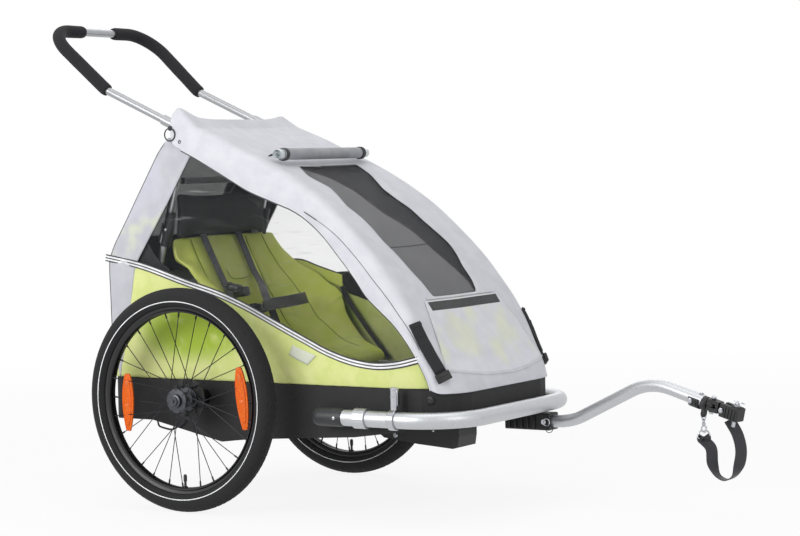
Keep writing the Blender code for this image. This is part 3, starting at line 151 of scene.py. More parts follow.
def lattice_normals(rows, centre=None):
    """Normals of a lattice, pointing away from a centre if one is given."""
    n = np.cross(np.gradient(rows, axis=0), np.gradient(rows, axis=1))
    n /= np.maximum(np.linalg.norm(n, axis=2, keepdims=True), 1e-9)
    if centre is None:
        return n
    flip = np.sign(((rows - np.array(centre)) * n).sum(2, keepdims=True))
    return n * np.where(flip == 0, 1, flip)


def crease(rows, normals, a, b, depth, width):
    """Pushes a fabric lattice along its normals in a soft line from a to b."""
    a, b = np.asarray(a, float), np.asarray(b, float)
    ab = b - a
    t = np.clip(((rows - a) @ ab) / (ab @ ab), 0, 1)
    d = np.linalg.norm(rows - (a + t[..., None] * ab), axis=2)
    fade = np.sin(np.pi * np.clip(0.08 + 0.92 * t, 0, 1)) ** 0.5
    return rows + normals * (depth * fade * np.exp(-(d / width) ** 2))[..., None]


# Meshes

class Shape:
    """Collects closed solids and sheets, with UVs in metres, into one object."""

    def __init__(self):
        self.verts, self.faces, self.uvs, self.mats = [], [], [], []

    def face(self, corners, uvs, mat):
        self.faces.append(corners)
        self.uvs.append(uvs)
        self.mats.append(mat)

    def lattice(self, rows, wrap=False, caps=False, mat=0, skip=None):
        rows = np.asarray(rows, float)
        m, n = rows.shape[:2]
        across = np.linalg.norm(np.diff(np.concatenate([rows, rows[:, :1]], 1), axis=1), axis=2)
        u = np.concatenate([np.zeros((m, 1)), np.cumsum(across, 1)], 1)
        if not wrap:
            u = u - u[:, n // 2:n // 2 + 1]
        v = np.r_[0, np.cumsum(np.linalg.norm(np.diff(rows, axis=0), axis=2).mean(1))]
        base = len(self.verts)
        self.verts += rows.reshape(-1, 3).tolist()
        for i in range(m - 1):
            for j in range(n if wrap else n - 1):
                if not (skip and skip(i, j)):
                    a, b, k = base + i * n, base + (i + 1) * n, (j + 1) % n
                    uvs = [(u[i, j], v[i]), (u[i, j + 1], v[i]), (u[i + 1, j + 1], v[i + 1]), (u[i + 1, j], v[i + 1])]
                    self.face([a + j, a + k, b + k, b + j], uvs, mat)
        if caps:
            for i, order in ((0, -1), (m - 1, 1)):
                loop = list(range(n))[::order]
                flat = (rows[i] - rows[i].mean(0))[:, [0, 2]]
                self.face([base + i * n + j for j in loop], [tuple(flat[j]) for j in loop], mat)
        return self

    def ring(self, rows, mat=0, mats=None):
        """A surface closed in both directions."""
        rows = np.array(rows, float)
        rows = np.concatenate([rows, rows[:1]])
        rows = np.concatenate([rows, rows[:, :1]], 1)
        m, n = rows.shape[0] - 1, rows.shape[1] - 1
        u = np.r_[0, np.cumsum(np.linalg.norm(np.diff(rows, axis=0), axis=2).mean(1))]
        v = np.r_[0, np.cumsum(np.linalg.norm(np.diff(rows, axis=1), axis=2).mean(0))]
        base = len(self.verts)
        self.verts += rows[:-1, :-1].reshape(-1, 3).tolist()
        for i in range(m):
            a, b = base + i * n, base + (i + 1) % m * n
            for j in range(n):
                k = (j + 1) % n
                uvs = [(v[j], u[i]), (v[j + 1], u[i]), (v[j + 1], u[i + 1]), (v[j], u[i + 1])]
                self.face([a + j, a + k, b + k, b + j], uvs, mats(i, j) if mats else mat)
        return self

    def sweep(self, path, section, side=None, mat=0, scale=None):
        """A section of (across, up) points along a path; side is the across direction, or one for each point."""
        path, section = np.asarray(path, float), np.asarray(section, float)
        tangent = unit(np.gradient(path, axis=0))
        if side is None:
            first = np.cross(tangent[0], Z)
            if np.linalg.norm(first) < 0.2:
                first = np.cross(tangent[0], Y)
            sides = [unit(first)]
            for t in tangent[1:]:
                sides.append(unit(sides[-1] - t * (sides[-1] @ t)))
        else:
            given = np.broadcast_to(np.asarray(side, float), path.shape)
            sides = [unit(g - t * (g @ t)) for g, t in zip(given, tangent)]
        ups = np.cross(sides, tangent)
        scale = np.ones(len(path)) if scale is None else scale
        rows = [p + (section[:, :1] * s + section[:, 1:] * u) * k for p, s, u, k in zip(path, sides, ups, scale)]
        return self.lattice(rows, wrap=True, caps=True, mat=mat)

    def tube(self, path, radius, sides=20, mat=0, bevel=0.12):
        path = np.asarray(path, float)
        radius = np.broadcast_to(np.asarray(radius, float), (len(path),)).copy()
        if bevel:
            a, b = (path[i] + unit(path[j] - path[i]) * radius[i] * bevel for i, j in ((0, 1), (-1, -2)))
            path = np.concatenate([path[:1], [a], path[1:-1], [b], path[-1:]])
            radius = np.r_[radius[0] * (1 - bevel), radius, radius[-1] * (1 - bevel)]
        return self.sweep(path, round_points(sides), mat=mat, scale=radius)

    def loop(self, path, radius, sides):
        """A closed ring of round wire."""
        path = np.asarray(path, float)
        middle = path.mean(0)
        flat = unit(np.cross(path[0] - middle, path[len(path) // 4] - middle))
        outs = np.cross(unit(np.roll(path, -1, 0) - np.roll(path, 1, 0)), flat)
        across = round_points(sides)
        return self.ring([p + radius * (across[:, :1] * out + across[:, 1:] * flat) for p, out in zip(path, outs)])

    def ribbon(self, path, width, thick, side, mat=0, scale=None):
        w, t = width / 2, thick / 2
        e = min(t * 0.8, w * 0.2)
        half = [(-w, -t + e), (-w + e, -t), (-w * 0.4, -t), (w * 0.4, -t), (w - e, -t), (w, -t + e)]
        return self.sweep(path, half + [(-a, -b) for a, b in half], side=side, mat=mat, scale=scale)

    def lathe(self, profile, centre, axis=Y, sides=64, closed=False, mat=0):
        """A profile of (radius, along) points turned about an axis through a point."""
        axis = Vector(axis).normalized()
        first = axis.orthogonal().normalized() if abs(axis.y) < 0.99 else X
        second = axis.cross(first)
        rows = [[tuple(Vector(centre) + axis * a + (first * math.cos(t) + second * math.sin(t)) * max(r, 1e-5))
                 for t in np.arange(sides) * TURN / sides] for r, a in profile]
        if closed:
            return self.ring(np.array(rows).transpose(1, 0, 2), mat=mat)
        return self.lattice(rows, wrap=True, caps=True, mat=mat)

    def block(self, centre, size, bevel=0.001, turn=None, mat=0, segments=2):
        """A box with rounded edges."""
        work = bmesh.new()
        bmesh.ops.create_cube(work, size=1.0)
        bmesh.ops.scale(work, vec=size, verts=work.verts)
        return self.take(work, work.edges[:], min(bevel, min(size) * 0.45), segments,
                         Matrix.Translation(centre) @ (turn.to_4x4() if turn else Matrix.Identity(4)), mat)

    def prism(self, outline, axis, start, end, bevel, turn, mat=0):
        """A flat outline given height along x or y, with rounded edges, and placed by a 4x4 turn."""
        work = bmesh.new()
        low, high = ([work.verts.new((c, a, b) if axis == "x" else (a, c, b)) for a, b in outline]
                     for c in (start, end))
        work.faces.new(low[::-1])
        work.faces.new(high)
        for k in range(len(outline)):
            j = (k + 1) % len(outline)
            work.faces.new([low[k], low[j], high[j], high[k]])
        bmesh.ops.recalc_face_normals(work, faces=work.faces)
        sharp = [e for e in work.edges if len(e.link_faces) == 2 and e.calc_face_angle(0) > math.radians(28)]
        return self.take(work, sharp, bevel, 2, turn, mat)

    def take(self, work, edges, bevel, segments, matrix, mat):
        bmesh.ops.bevel(work, geom=edges, offset=bevel, segments=segments, affect="EDGES", profile=0.5)
        bmesh.ops.transform(work, matrix=matrix, verts=work.verts)
        work.verts.index_update()
        base = len(self.verts)
        self.verts += [tuple(v.co) for v in work.verts]
        for f in work.faces:
            self.face([base + v.index for v in f.verts], [(v.co.x, v.co.z) for v in f.verts], mat)
        work.free()
        return self

    def done(self, name, paints, body="trailer", replaces=(), angle=38, thick=None, smooth=False):
        """Makes the object; thick is a sheet's thickness."""
        paints = paints if isinstance(paints, list) else [paints]
        mesh = bpy.data.meshes.new(name)
        mesh.from_pydata(self.verts, [], self.faces)
        mesh.uv_layers.new(name="UVMap").data.foreach_set("uv", [c for face in self.uvs for uv in face for c in uv])
        mesh.polygons.foreach_set("material_index", self.mats)
        for paint in paints:
            mesh.materials.append(paint.material)
        work = bmesh.new()
        work.from_mesh(mesh)
        bmesh.ops.remove_doubles(work, verts=work.verts, dist=2e-6)
        bmesh.ops.recalc_face_normals(work, faces=work.faces)
        work.to_mesh(mesh)
        work.free()
        mesh.shade_smooth()
        mesh.set_sharp_from_angle(angle=math.radians(angle))
        obj = bpy.data.objects.new(name, mesh)
        bpy.context.scene.collection.objects.link(obj)
        obj.location = AXLE
        if smooth:
            subdivide(obj)
        if thick:
            cloth = obj.modifiers.new("thickness", "SOLIDIFY")
            cloth.thickness, cloth.offset, cloth.use_even_offset = thick, 0.0, False
        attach(obj, body)
        if replaces:
            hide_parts(*replaces)
        return obj


def subdivide(obj):
    fine = obj.modifiers.new("fine", "SUBSURF")
    fine.levels = fine.render_levels = 1


# Materials

def linear(colour):
    return tuple((c / 255 / 12.92) if c <= 10.3 else ((c / 255 + 0.055) / 1.055) ** 2.4 for c in colour) + (1.0,)


def shade(colour, share, lift=0):
    return linear([min(255, c * share + lift) for c in colour])


class Paint:
    """A Principled material with small helpers for its nodes, and the slot of the pieces that wear it."""

    def __init__(self, name, slot, rough=0.5, metal=0.0, **sockets):
        self.material = bpy.data.materials.new(name)
        self.material.use_nodes = True
        self.tree = self.material.node_tree
        self.shader = self.tree.nodes["Principled BSDF"]
        self.slot, self.normal = slot, None
        self.set(Roughness=rough, Metallic=metal, **sockets)

    def feed(self, socket, value):
        if isinstance(value, bpy.types.NodeSocket):
            self.tree.links.new(value, socket)
        else:
            socket.default_value = value

    def set(self, **sockets):
        for name, value in sockets.items():
            self.feed(self.shader.inputs[name.replace("_", " ")], value)
        return self

    def node(self, kind, inputs=None, **settings):
        n = self.tree.nodes.new("ShaderNode" + kind)
        for key, value in settings.items():
            setattr(n, key, value)
        for key, value in (inputs or {}).items():
            self.feed(n.inputs[key], value)
        return n

    def place(self, kind="Object"):
        return self.node("TexCoord").outputs[kind]

    def axes(self, where):
        return self.node("SeparateXYZ", {0: where}).outputs

    def math(self, operation, *values):
        return self.node("Math", dict(enumerate(values)), operation=operation).outputs[0]

    def times(self, a, b):
        return self.math("MULTIPLY", a, b)

    def rest_of(self, a):
        return self.math("SUBTRACT", 1.0, a)

    def grain(self, where, scale, detail=3.0, rough=0.5, **mapping):
        if mapping:
            where = self.node("Mapping", {"Vector": where, **mapping}).outputs[0]
        inputs = {"Vector": where, "Scale": scale, "Detail": detail, "Roughness": rough}
        return self.node("TexNoise", inputs).outputs["Fac"]

    def between(self, factor, low, high):
        """0 below low and 1 above high."""
        return self.node("MapRange", {"Value": factor, "From Min": low, "From Max": high},
                         interpolation_type="SMOOTHSTEP").outputs["Result"]

    def scaled(self, factor, low, high):
        return self.node("MapRange", {"Value": factor, "To Min": low, "To Max": high}).outputs["Result"]

    def mix(self, factor, a, b):
        return self.node("Mix", {0: factor, 6: a, 7: b}, data_type="RGBA").outputs[2]

    def bump(self, height, distance, strength=1.0):
        inputs = {"Height": height, "Distance": distance, "Strength": strength}
        if self.normal is not None:
            inputs["Normal"] = self.normal
        self.normal = self.node("Bump", inputs).outputs[0]
        return self.set(Normal=self.normal)

    def waves(self, pitch, *shares):
        """Sines of the sheet's own lengths, across and along."""
        lengths = self.axes(self.place("UV"))
        return [self.math("SINE", self.times(lengths[i], TURN / pitch * share)) for i, share in enumerate(shares)]

    def weave(self, a, b):
        return self.math("MULTIPLY_ADD", self.times(a, b), 0.5, 0.5)

    def blotch(self, *patches):
        """Lays further colours over the one there is: (where it lies, its share, colour)."""
        colour = self.shader.inputs["Base Color"].links[0].from_socket
        for where, share, over in patches:
            colour = self.mix(self.times(where, share), colour, linear(over))
        return self.set(Base_Color=colour)


def cloth(name, slot, colour, deep, pitch=0.0016, weave=0.00025, folds=0.0012, scale=26.0, **sockets):
    rough = 0.82
    p = Paint(name, slot, rough, **sockets)
    where = p.place()
    threads = p.weave(*p.waves(pitch, 1, 1))
    fine = p.grain(where, 420.0, 2.0, 0.6)
    base = p.mix(p.between(p.grain(where, scale, 4.0, 0.55), 0.30, 0.72), linear(deep), linear(colour))
    tint = p.mix(p.scaled(fine, 0.0, 0.16), base, shade(deep, 0.80))
    # The valleys between the threads are mixed a little darker: painted shade in the weave.
    p.set(Base_Color=p.mix(p.times(p.rest_of(threads), 0.10), tint, shade(deep, 0.72)),
          Roughness=p.scaled(fine, rough - 0.07, rough + 0.08))
    p.bump(p.grain(where, scale * 0.55, 3.0, 0.5), folds * 2.2, 0.55)
    p.bump(p.grain(where, scale * 2.1, 2.0, 0.5), folds * 0.5, 0.5)
    return p.bump(threads, weave, 0.6)


def webbing(name, slot, colour, edge, pitch=0.0022, rough=0.62):
    p = Paint(name, slot, rough, Sheen_Weight=0.25, Sheen_Roughness=0.5)
    cords, ribs = p.waves(pitch, 0.9, 1)
    height = p.weave(ribs, cords)
    fine = p.grain(p.place(), 300.0, 2.0)
    # The rib crests take the lighter edge colour and the valleys the darker one: painted highlight and shade on the
    # ribs.
    p.set(Base_Color=p.mix(p.times(height, p.scaled(fine, 0.5, 1.0)), linear(colour), linear(edge)),
          Roughness=p.scaled(fine, rough - 0.1, rough + 0.12))
    return p.bump(height, 0.0005, 0.8)


def plastic(name, slot, colour, rough=0.45, grain=0.00012, scale=900.0, wear=(70, 70, 74)):
    p = Paint(name, slot, rough)
    where = p.place()
    fine, broad = p.grain(where, scale, 3.0, 0.6), p.grain(where, 30.0, 4.0, 0.6)
    base = p.mix(p.between(broad, 0.25, 0.8), linear(colour), shade(colour, 1.25, 3))
    p.set(Base_Color=p.mix(p.times(p.between(fine, 0.62, 0.75), 0.25), base, linear(wear)),
          Roughness=p.scaled(broad, rough - 0.06, rough + 0.10))
    return p.bump(fine, grain, 0.7)


def metal(name, slot, colour, rough=0.3, scale=260.0, depth=0.00004):
    p = Paint(name, slot, rough, 1.0)
    where = p.place()
    lines = p.grain(where, scale, 3.0, 0.55)
    p.set(Base_Color=p.mix(p.scaled(lines, 0.0, 0.7), linear(colour), shade(colour, 0.86)),
          Roughness=p.scaled(p.grain(where, 22.0, 3.0, 0.5), rough - 0.05, rough + 0.07))
    return p.bump(lines, depth, 0.5)


def net(name, thread, holes, least, most):
    """A fine open net of threads, seen through between them."""
    p = Paint(name, "mesh_fabric", 0.75)
    across, along_ = (p.between(p.math("ABSOLUTE", wave), 0.25, 0.85) for wave in p.waves(0.0022, 0.5, 0.5))
    gaps = p.times(across, along_)
    where = p.place()
    p.set(Base_Color=p.mix(p.between(p.grain(where, 18.0, 3.0), 0.3, 0.7), linear(thread), linear(holes)),
          Alpha=p.scaled(gaps, most, least))
    p.bump(gaps, 0.0003, 0.5)
    return p.bump(p.grain(where, 14.0, 2.0), 0.004, 0.5)


def make_reflector():
    p = Paint("orange_reflector", None, 0.34, Specular_IOR_Level=0.25)
    cells = p.node("TexVoronoi", {"Vector": p.place(), "Scale": 320.0}, feature="F1").outputs["Distance"]
    p.set(Base_Color=p.mix(p.between(cells, 0.0, 0.6), linear((236, 122, 0)), linear((218, 88, 0))))
    return p.bump(cells, 0.0009, 0.9)


def make_film():
    p = Paint("clear_film", "clear_film", 0.06, IOR=1.45)
    where = p.place()
    wrinkles_and_painted_glints = p.between(p.grain(where, 9.0, 3.0, 0.5, Scale=(0.8, 1.0, 9.0)), 0.60, 0.78)
    soft = p.grain(where, 3.2, 2.0)
    # The streaks are wrinkles: they bump the film, and their white colour and higher alpha are a painted highlight
    # along them.
    p.set(Base_Color=p.mix(wrinkles_and_painted_glints, linear((96, 102, 104)), linear((236, 240, 240))),
          Alpha=p.math("ADD", p.times(wrinkles_and_painted_glints, 0.16), p.scaled(soft, 0.030, 0.075)))
    p.bump(wrinkles_and_painted_glints, 0.006, 0.5)
    return p.bump(soft, 0.02, 0.35)


def make_blotched():
    """Grey cloth with faint soft patches of lime and lilac."""
    p = cloth("grey_cloth_patched", "grey_fabric", (234, 235, 240), (225, 226, 232), **SOFT_SHEEN)
    where = p.place()
    first = p.between(p.grain(where, 15.0, 1.5, 0.4, Scale=(1.0, 1.0, 0.8)), 0.46, 0.74)
    second = p.between(p.grain(where, 12.0, 1.5, 0.4, Location=(3.0, 1.0, 2.0)), 0.52, 0.68)
    return p.blotch((first, 0.34, (234, 240, 170)), (second, 0.30, (212, 209, 228)))


def make_blotched_rear():
    """Grey cloth whose rear strips carry faint soft patches near the band."""
    p = cloth("grey_cloth_rear", "grey_fabric", (200, 201, 207), (190, 191, 198), **SOFT_SHEEN)
    where = p.place()
    height = p.axes(where)[2]
    near = p.times(p.between(height, 0.555, 0.585), p.rest_of(p.between(height, 0.635, 0.690)))
    first = p.times(near, p.between(p.grain(where, 26.0, 1.5, 0.4), 0.40, 0.70))
    spots = p.between(p.grain(where, 11.0, 1.5, Location=(2.0, 5.0, 1.0)), 0.50, 0.66)
    second = p.times(p.between(height, 0.58, 0.64), spots)
    return p.blotch((first, 0.30, (230, 236, 168)), (second, 0.30, (206, 204, 224)))


def make_side_lime():
    """Lime cloth, deeper in a soft patch above the axle."""
    p = cloth("lime_cloth_side", "lime_fabric", (228, 234, 158), (216, 226, 138), folds=0.0010,
              Sheen_Weight=0.10, Sheen_Roughness=0.6)
    where = p.place()
    x, _, z = p.axes(where)
    squares = [p.math("POWER", p.times(p.math("ABSOLUTE", offset), share), 2.0)
               for offset, share in ((p.math("ADD", x, 0.035), 7.5), (p.math("SUBTRACT", z, 0.398), 17.0))]
    patch = p.rest_of(p.between(p.math("ADD", *squares), 0.25, 2.0))
    return p.blotch((p.times(patch, p.between(p.grain(where, 20.0, 2.0), 0.10, 0.45)), 0.92, (152, 180, 30)))


SOFT_SHEEN = {"Sheen_Weight": 0.12, "Sheen_Roughness": 0.6}
grey = cloth("grey_cloth", "grey_fabric", (224, 225, 231), (214, 215, 222), **SOFT_SHEEN)
# A very pale grey for the inner flap, brightened past the cover's grey to stand in for light the inside lacks: painted
# light.
grey_flap_painted_light = cloth("grey_lining", "grey_fabric", (246, 246, 248), (236, 236, 240), folds=0.0006)
# The inside lime is brighter than the outer lime panels to stand in for light that the shaded inside lacks: painted
# light.
lime_painted_light = cloth("lime_lining", "lime_fabric", (246, 252, 146), (232, 245, 112), folds=0.0016, scale=20.0)
black_cloth = cloth("black_cloth", "black_fabric", (37, 37, 41), (27, 27, 30), 0.0018, 0.0003, 0.0016, 22.0)
# Dark cloth for the rear wall linings; under the front window it is also painted shade for the dark inside seen through
# the net.
dark_lining = cloth("dark_lining", "black_fabric", (34, 34, 38), (24, 24, 28))
white_tape = cloth("white_piping", "grey_fabric", (232, 233, 236), (214, 216, 221), folds=0.0002)
tag_cloth = cloth("pale_tag", "grey_fabric", (226, 230, 214), (214, 219, 200), folds=0.0004)
roll_cloth = cloth("rolled_cloth", "grey_fabric", (178, 179, 184), (160, 161, 166), folds=0.0008)
grey_blotched, grey_rear, lime_side = make_blotched(), make_blotched_rear(), make_side_lime()
film_clear, reflector_orange = make_film(), make_reflector()
window_net = net("window_net", (84, 85, 89), (70, 70, 74), 0.14, 0.50)
rear_net = net("rear_net", (66, 67, 70), (52, 52, 56), 0.30, 0.90)
strap_black = webbing("black_webbing", "black_fabric", (24, 24, 29), (52, 52, 60))
tab_black = webbing("hook_tape", "black_fabric", (15, 16, 19), (31, 32, 38), 0.0014, 0.85)
elastic = webbing("grey_edging", "black_fabric", (60, 61, 66), (92, 93, 99))
tub_plastic = plastic("tub_plastic", "black_plastic", (14, 14, 16), 0.68, 0.0006, 240.0, (40, 40, 44))
black_plastic = plastic("moulded_plastic", "black_plastic", (18, 18, 20), 0.48, wear=(44, 44, 48))
gloss_plastic = plastic("dark_glossy_plastic", "black_plastic", (22, 22, 24), 0.28, 0.00005)
cap_plastic = plastic("cap_plastic", "black_plastic", (30, 31, 33), 0.44, 0.00006, 700.0, (60, 61, 65))
rim_paint = plastic("black_anodised", "black_rim", (17, 17, 20), 0.34, 0.00003)
rubber = plastic("tyre_rubber", "rubber", (13, 13, 15), 0.84, 0.0003, 520.0, (34, 34, 37))
foam = plastic("grip_foam", "foam", (22, 22, 25), 0.92, 0.0005, 1300.0, (46, 46, 50))
stripe = plastic("reflective_stripe", "grey_fabric", (214, 216, 218), 0.34, 0.00005, 700.0, (180, 182, 186))
roll_film = plastic("rolled_film", "clear_film", (196, 204, 208), 0.16, 0.00004, 500.0, (224, 230, 232))
seam_thread = plastic("seam_thread", "lime_fabric", (118, 134, 44), 0.8, 0.0001, 900.0, (140, 156, 60))
reflector_deep = plastic("reflector_clip", None, (196, 92, 20), 0.3, 0.00005, 700.0, (214, 112, 34))
hub_paint = metal("grey_hub", "dark_steel", (84, 85, 90), 0.38)
aluminium = metal("satin_aluminium", "aluminium", (200, 202, 205), 0.40, 180.0)
handle_metal = metal("handle_tube", "aluminium", (172, 173, 176), 0.34, 240.0, 0.000004)
bright_steel = metal("bright_steel", "bright_steel", (196, 198, 203), 0.20)
dark_steel = metal("dark_steel", "dark_steel", (62, 63, 68), 0.36)
spoke_steel = metal("black_spoke", "dark_steel", (52, 52, 56), 0.38)

FOR_SLOT = {
    "black_plastic": black_plastic, "aluminium": aluminium, "dark_steel": dark_steel, "bright_steel": bright_steel,
    "rubber": rubber, "foam": foam, "black_rim": rim_paint, "grey_fabric": grey, "lime_fabric": lime_painted_light,
    "black_fabric": strap_black, "mesh_fabric": window_net, "clear_film": film_clear,
}
FOR_NODE = {
    "floor_tub": tub_plastic, "handle_socket_right": handle_metal, "handle_socket_left": handle_metal,
    "bumper_clamp_right": aluminium, "bumper_clamp_left": aluminium, "hitch_knuckle": black_plastic,
    "hitch_block": black_plastic, "brake_ring_right": black_plastic, "brake_ring_left": black_plastic,
    "axle_pin_right": hub_paint, "axle_pin_left": hub_paint,
    "axle_button_right": hub_paint, "axle_button_left": hub_paint,
}
for node in NODES.values():
    for spot in node.material_slots:
        base = spot.material.name.split(".")[0] if spot.material else "black_plastic"
        spot.material = FOR_SLOT.get(base, black_plastic).material
    node.data.shade_smooth()
    node.data.set_sharp_from_angle(angle=math.radians(34))
for node, paint in FOR_NODE.items():
    NODES[node].material_slots[0].material = paint.material


# Canopy

STATIONS = [  # crown x, z and side hem x, z, from the rear to the front
    (-0.04, 0.855, -0.03, 0.786), (0.03, 0.828, 0.045, 0.747), (0.105, 0.796, 0.115, 0.712),
    (0.165, 0.768, 0.175, 0.69), (0.235, 0.732, 0.243, 0.664), (0.3, 0.692, 0.297, 0.628),
    (0.365, 0.643, 0.348, 0.5775), (0.43, 0.582, 0.399, 0.52), (0.485, 0.52, 0.44, 0.471),
    (0.518, 0.476, 0.478, 0.442), (0.563, 0.405, 0.521, 0.401), (0.594, 0.35, 0.553, 0.355),
    (0.61, 0.31, 0.572, 0.312), (0.6175, 0.2853, 0.58, 0.2858),
]
REAR_SIDE = [(-0.08, 0.8085), (-0.096, 0.815), (-0.107, 0.845), (-0.105, 0.88), (-0.0915, 0.9035)]
REAR_TOP = [(0.0, -0.067, 0.8765), (0.11, -0.069, 0.876), (0.16, -0.0745, 0.88), (0.19, -0.085, 0.896),
            (0.216, -0.0915, 0.9035)]
NEAR_EDGE = [(0.169, 0.106), (0.214, 0.136), (0.264, 0.119), (0.324, 0.15), (0.36, 0.143), (0.39, 0.14),
             (0.414, 0.144), (0.452, 0.133), (0.48, 0.127), (0.498, 0.115), (0.52, 0.11)]
FAR_EDGE = [(0.162, 0.135), (0.214, 0.123), (0.271, 0.088), (0.308, 0.087), (0.34, 0.098), (0.372, 0.097),
            (0.4, 0.105), (0.43, 0.117), (0.455, 0.111), (0.475, 0.097), (0.501, 0.098), (0.52, 0.082)]
OPEN_FROM, OPEN_TO = 0.168, 0.519  # the front window along x
HEM_STEPS, ARC_STEPS, OUTER_STEPS, INNER_STEPS, LEAD_STEPS = 9, 6, 6, 7, 9
EDGE_COLUMN = HEM_STEPS + ARC_STEPS + OUTER_STEPS
COVER_CENTRE = (0.2, 0.0, 0.45)
RIM_Z = 0.2853  # the tub's upper edge, where the walls end
CREASES = [  # from, to, depth, width
    ((0.135, -0.2, 0.765), (0.165, -0.222, 0.735), -0.0028, 0.006),
    ((0.135, -0.2, 0.765), (0.12, -0.222, 0.738), -0.0024, 0.006),
    ((0.145, -0.19, 0.77), (0.205, -0.218, 0.725), -0.0026, 0.007),
    ((0.1, -0.2, 0.79), (0.22, -0.205, 0.735), 0.0026, 0.012),
    ((0.184, -0.2, 0.753), (0.29, -0.205, 0.68), 0.003, 0.014),
    ((0.26, -0.205, 0.7), (0.405, -0.205, 0.575), 0.003, 0.013),
    ((0.3, -0.16, 0.695), (0.4, -0.185, 0.61), -0.0022, 0.012),
    ((0.38, -0.15, 0.632), (0.47, -0.17, 0.535), -0.002, 0.012),
    ((-0.05, -0.205, 0.862), (0.07, -0.21, 0.812), 0.0024, 0.016),
    ((-0.02, -0.222, 0.82), (0.08, -0.226, 0.77), -0.0016, 0.012),
    ((0.52, -0.14, 0.47), (0.555, -0.19, 0.41), -0.0018, 0.01),
    ((0.53, 0.13, 0.455), (0.6, 0.17, 0.33), -0.0016, 0.014),
    ((0.18, 0.19, 0.765), (0.33, 0.185, 0.672), 0.0024, 0.014),
]


def along(table, key, column=1):
    table = np.asarray(table, float)
    return np.interp(key, table[:, 0], table[:, column])


def half_at(x, z):
    """Half width of the body at a height, with its rounded front corners."""
    front = max(0.0, min(1.2, (x - 0.520) / 0.0975))
    return 0.2525 - 0.064 * (z - 0.285) - 0.0385 * front * front


def on_wall(x, z, side, inset=0.0):
    return (x, side * (half_at(x, z) - inset), z)


def section_half(station, side, edge):
    """Points from the hem over the shoulder to the middle of the top, for one side."""
    xc, zc, xh, zh = station
    corner, hem = Vector(on_wall(xc, zc, side)), Vector(on_wall(xh, zh, side))
    drop = hem - corner
    radius = min(0.022 + 0.030 * float(ease(xc, 0.45, 0.60)), drop.length * 0.48)
    a = corner + drop.normalized() * radius
    b = corner - Vector((0, side * radius, 0))
    points = []
    for t in np.arange(HEM_STEPS) / HEM_STEPS:
        x, y, z = hem.lerp(a, t)
        points.append((x, y + side * 0.0028 * math.sin(math.pi * t), z))
    for t in np.arange(ARC_STEPS) / ARC_STEPS:
        points.append(tuple(a * (1 - t) ** 2 + corner * 2 * t * (1 - t) + b * t ** 2))
    points += [(xc, b.y + (side * edge - b.y) * t, zc) for t in np.arange(OUTER_STEPS) / OUTER_STEPS]
    return points + [(xc, side * edge * (1 - t), zc) for t in np.arange(INNER_STEPS) / INNER_STEPS]


def rear_end(first):
    """The cover's rear edge: its corners stand up over the frame and the edge between them dips."""
    n = len(first)
    side_curve = spline(REAR_SIDE, 15)
    edge = np.zeros_like(first)
    for j in range(n):
        side, k = (-1.0, j) if j <= n // 2 else (1.0, n - 1 - j)
        if k < len(side_curve):
            x, z = side_curve[k]
            if side > 0:
                z = 0.8085 + (z - 0.8085) * 0.80
            tuck = {13: 0.0025, 14: 0.006}.get(k, 0)
            edge[j] = on_wall(x, z, side, tuck - 0.0015)
        else:
            y = abs(first[j, 1])
            x, z = float(along(REAR_TOP, y)), float(along(REAR_TOP, y, 2))
            if side > 0:
                z = min(z, 0.8765 + 0.006 * float(ease(y, 0.05, 0.19)))
            edge[j] = (x, side * y, z)
    return edge


def hem_over_rim(rows):
    """At the front the cover spreads and its hem hangs over the tub's rim."""
    body = NODES["floor_tub"]
    tub = BVHTree.FromPolygons([body.matrix_world @ v.co - AXLE for v in body.data.vertices],
                               [list(p.vertices) for p in body.data.polygons])
    last = rows[-1].copy()
    reach = np.zeros_like(last[:, :2])
    for j, (x, y, _) in enumerate(last):
        out = Vector((x - 0.30, y * 0.8, 0)).normalized()
        hits = [tub.ray_cast(Vector((x, y, level)) + out * 0.2, -out, 0.3)[0] for level in (0.268, 0.276, 0.283)]
        far = max([(Vector((x, y, 0)) - h.xy.to_3d()).dot(-out) for h in hits if h is not None], default=-0.003)
        reach[j] = np.array(out)[:2] * max(0.0, far + 0.0030)
    share = ease(last[:, 0], 0.572, 0.600)
    for row in rows[-8:]:
        row[:, :2] += reach * np.clip((0.365 - row[:, 2:3]) / 0.068, 0, 1) ** 1.4
    for fall in (0.005, 0.010):
        low = rows[-1].copy()
        low[:, 2] = last[:, 2] - fall * share
        low[:, 0] += 0.0012 * share
        low[:, 1] *= 1.002
        rows = np.concatenate([rows, low[None]])
    return rows


def roof_rows():
    """The whole cover as rows of points from the near hem to the far one, and where its front window opens."""
    fine = spline(STATIONS, 240)
    before, within = np.linspace(-0.040, OPEN_FROM, 16)[:-1], np.linspace(OPEN_FROM, OPEN_TO, 30)[:-1]
    rows = []
    for s in columns_at(np.r_[before, within, np.linspace(OPEN_TO, 0.6175, 22)], fine[:, 0], fine):
        left = section_half(s, -1.0, float(along(NEAR_EDGE, s[0])))
        right = section_half(s, 1.0, float(along(FAR_EDGE, s[0])))
        rows.append(left + [(s[0], 0.0, s[1])] + right[::-1])
    rows = np.array(rows)
    edge, first = rear_end(rows[0]), rows[0]
    t = np.arange(LEAD_STEPS)[:, None, None] / LEAD_STEPS
    w = t * t * (3 - 2 * t) * 0.5 + t * 0.5
    rows = hem_over_rim(np.concatenate([edge * (1 - w) + first * w, rows]))
    start = LEAD_STEPS + len(before)
    return rows, (start, start + len(within), EDGE_COLUMN, rows.shape[1] - 1 - EDGE_COLUMN)


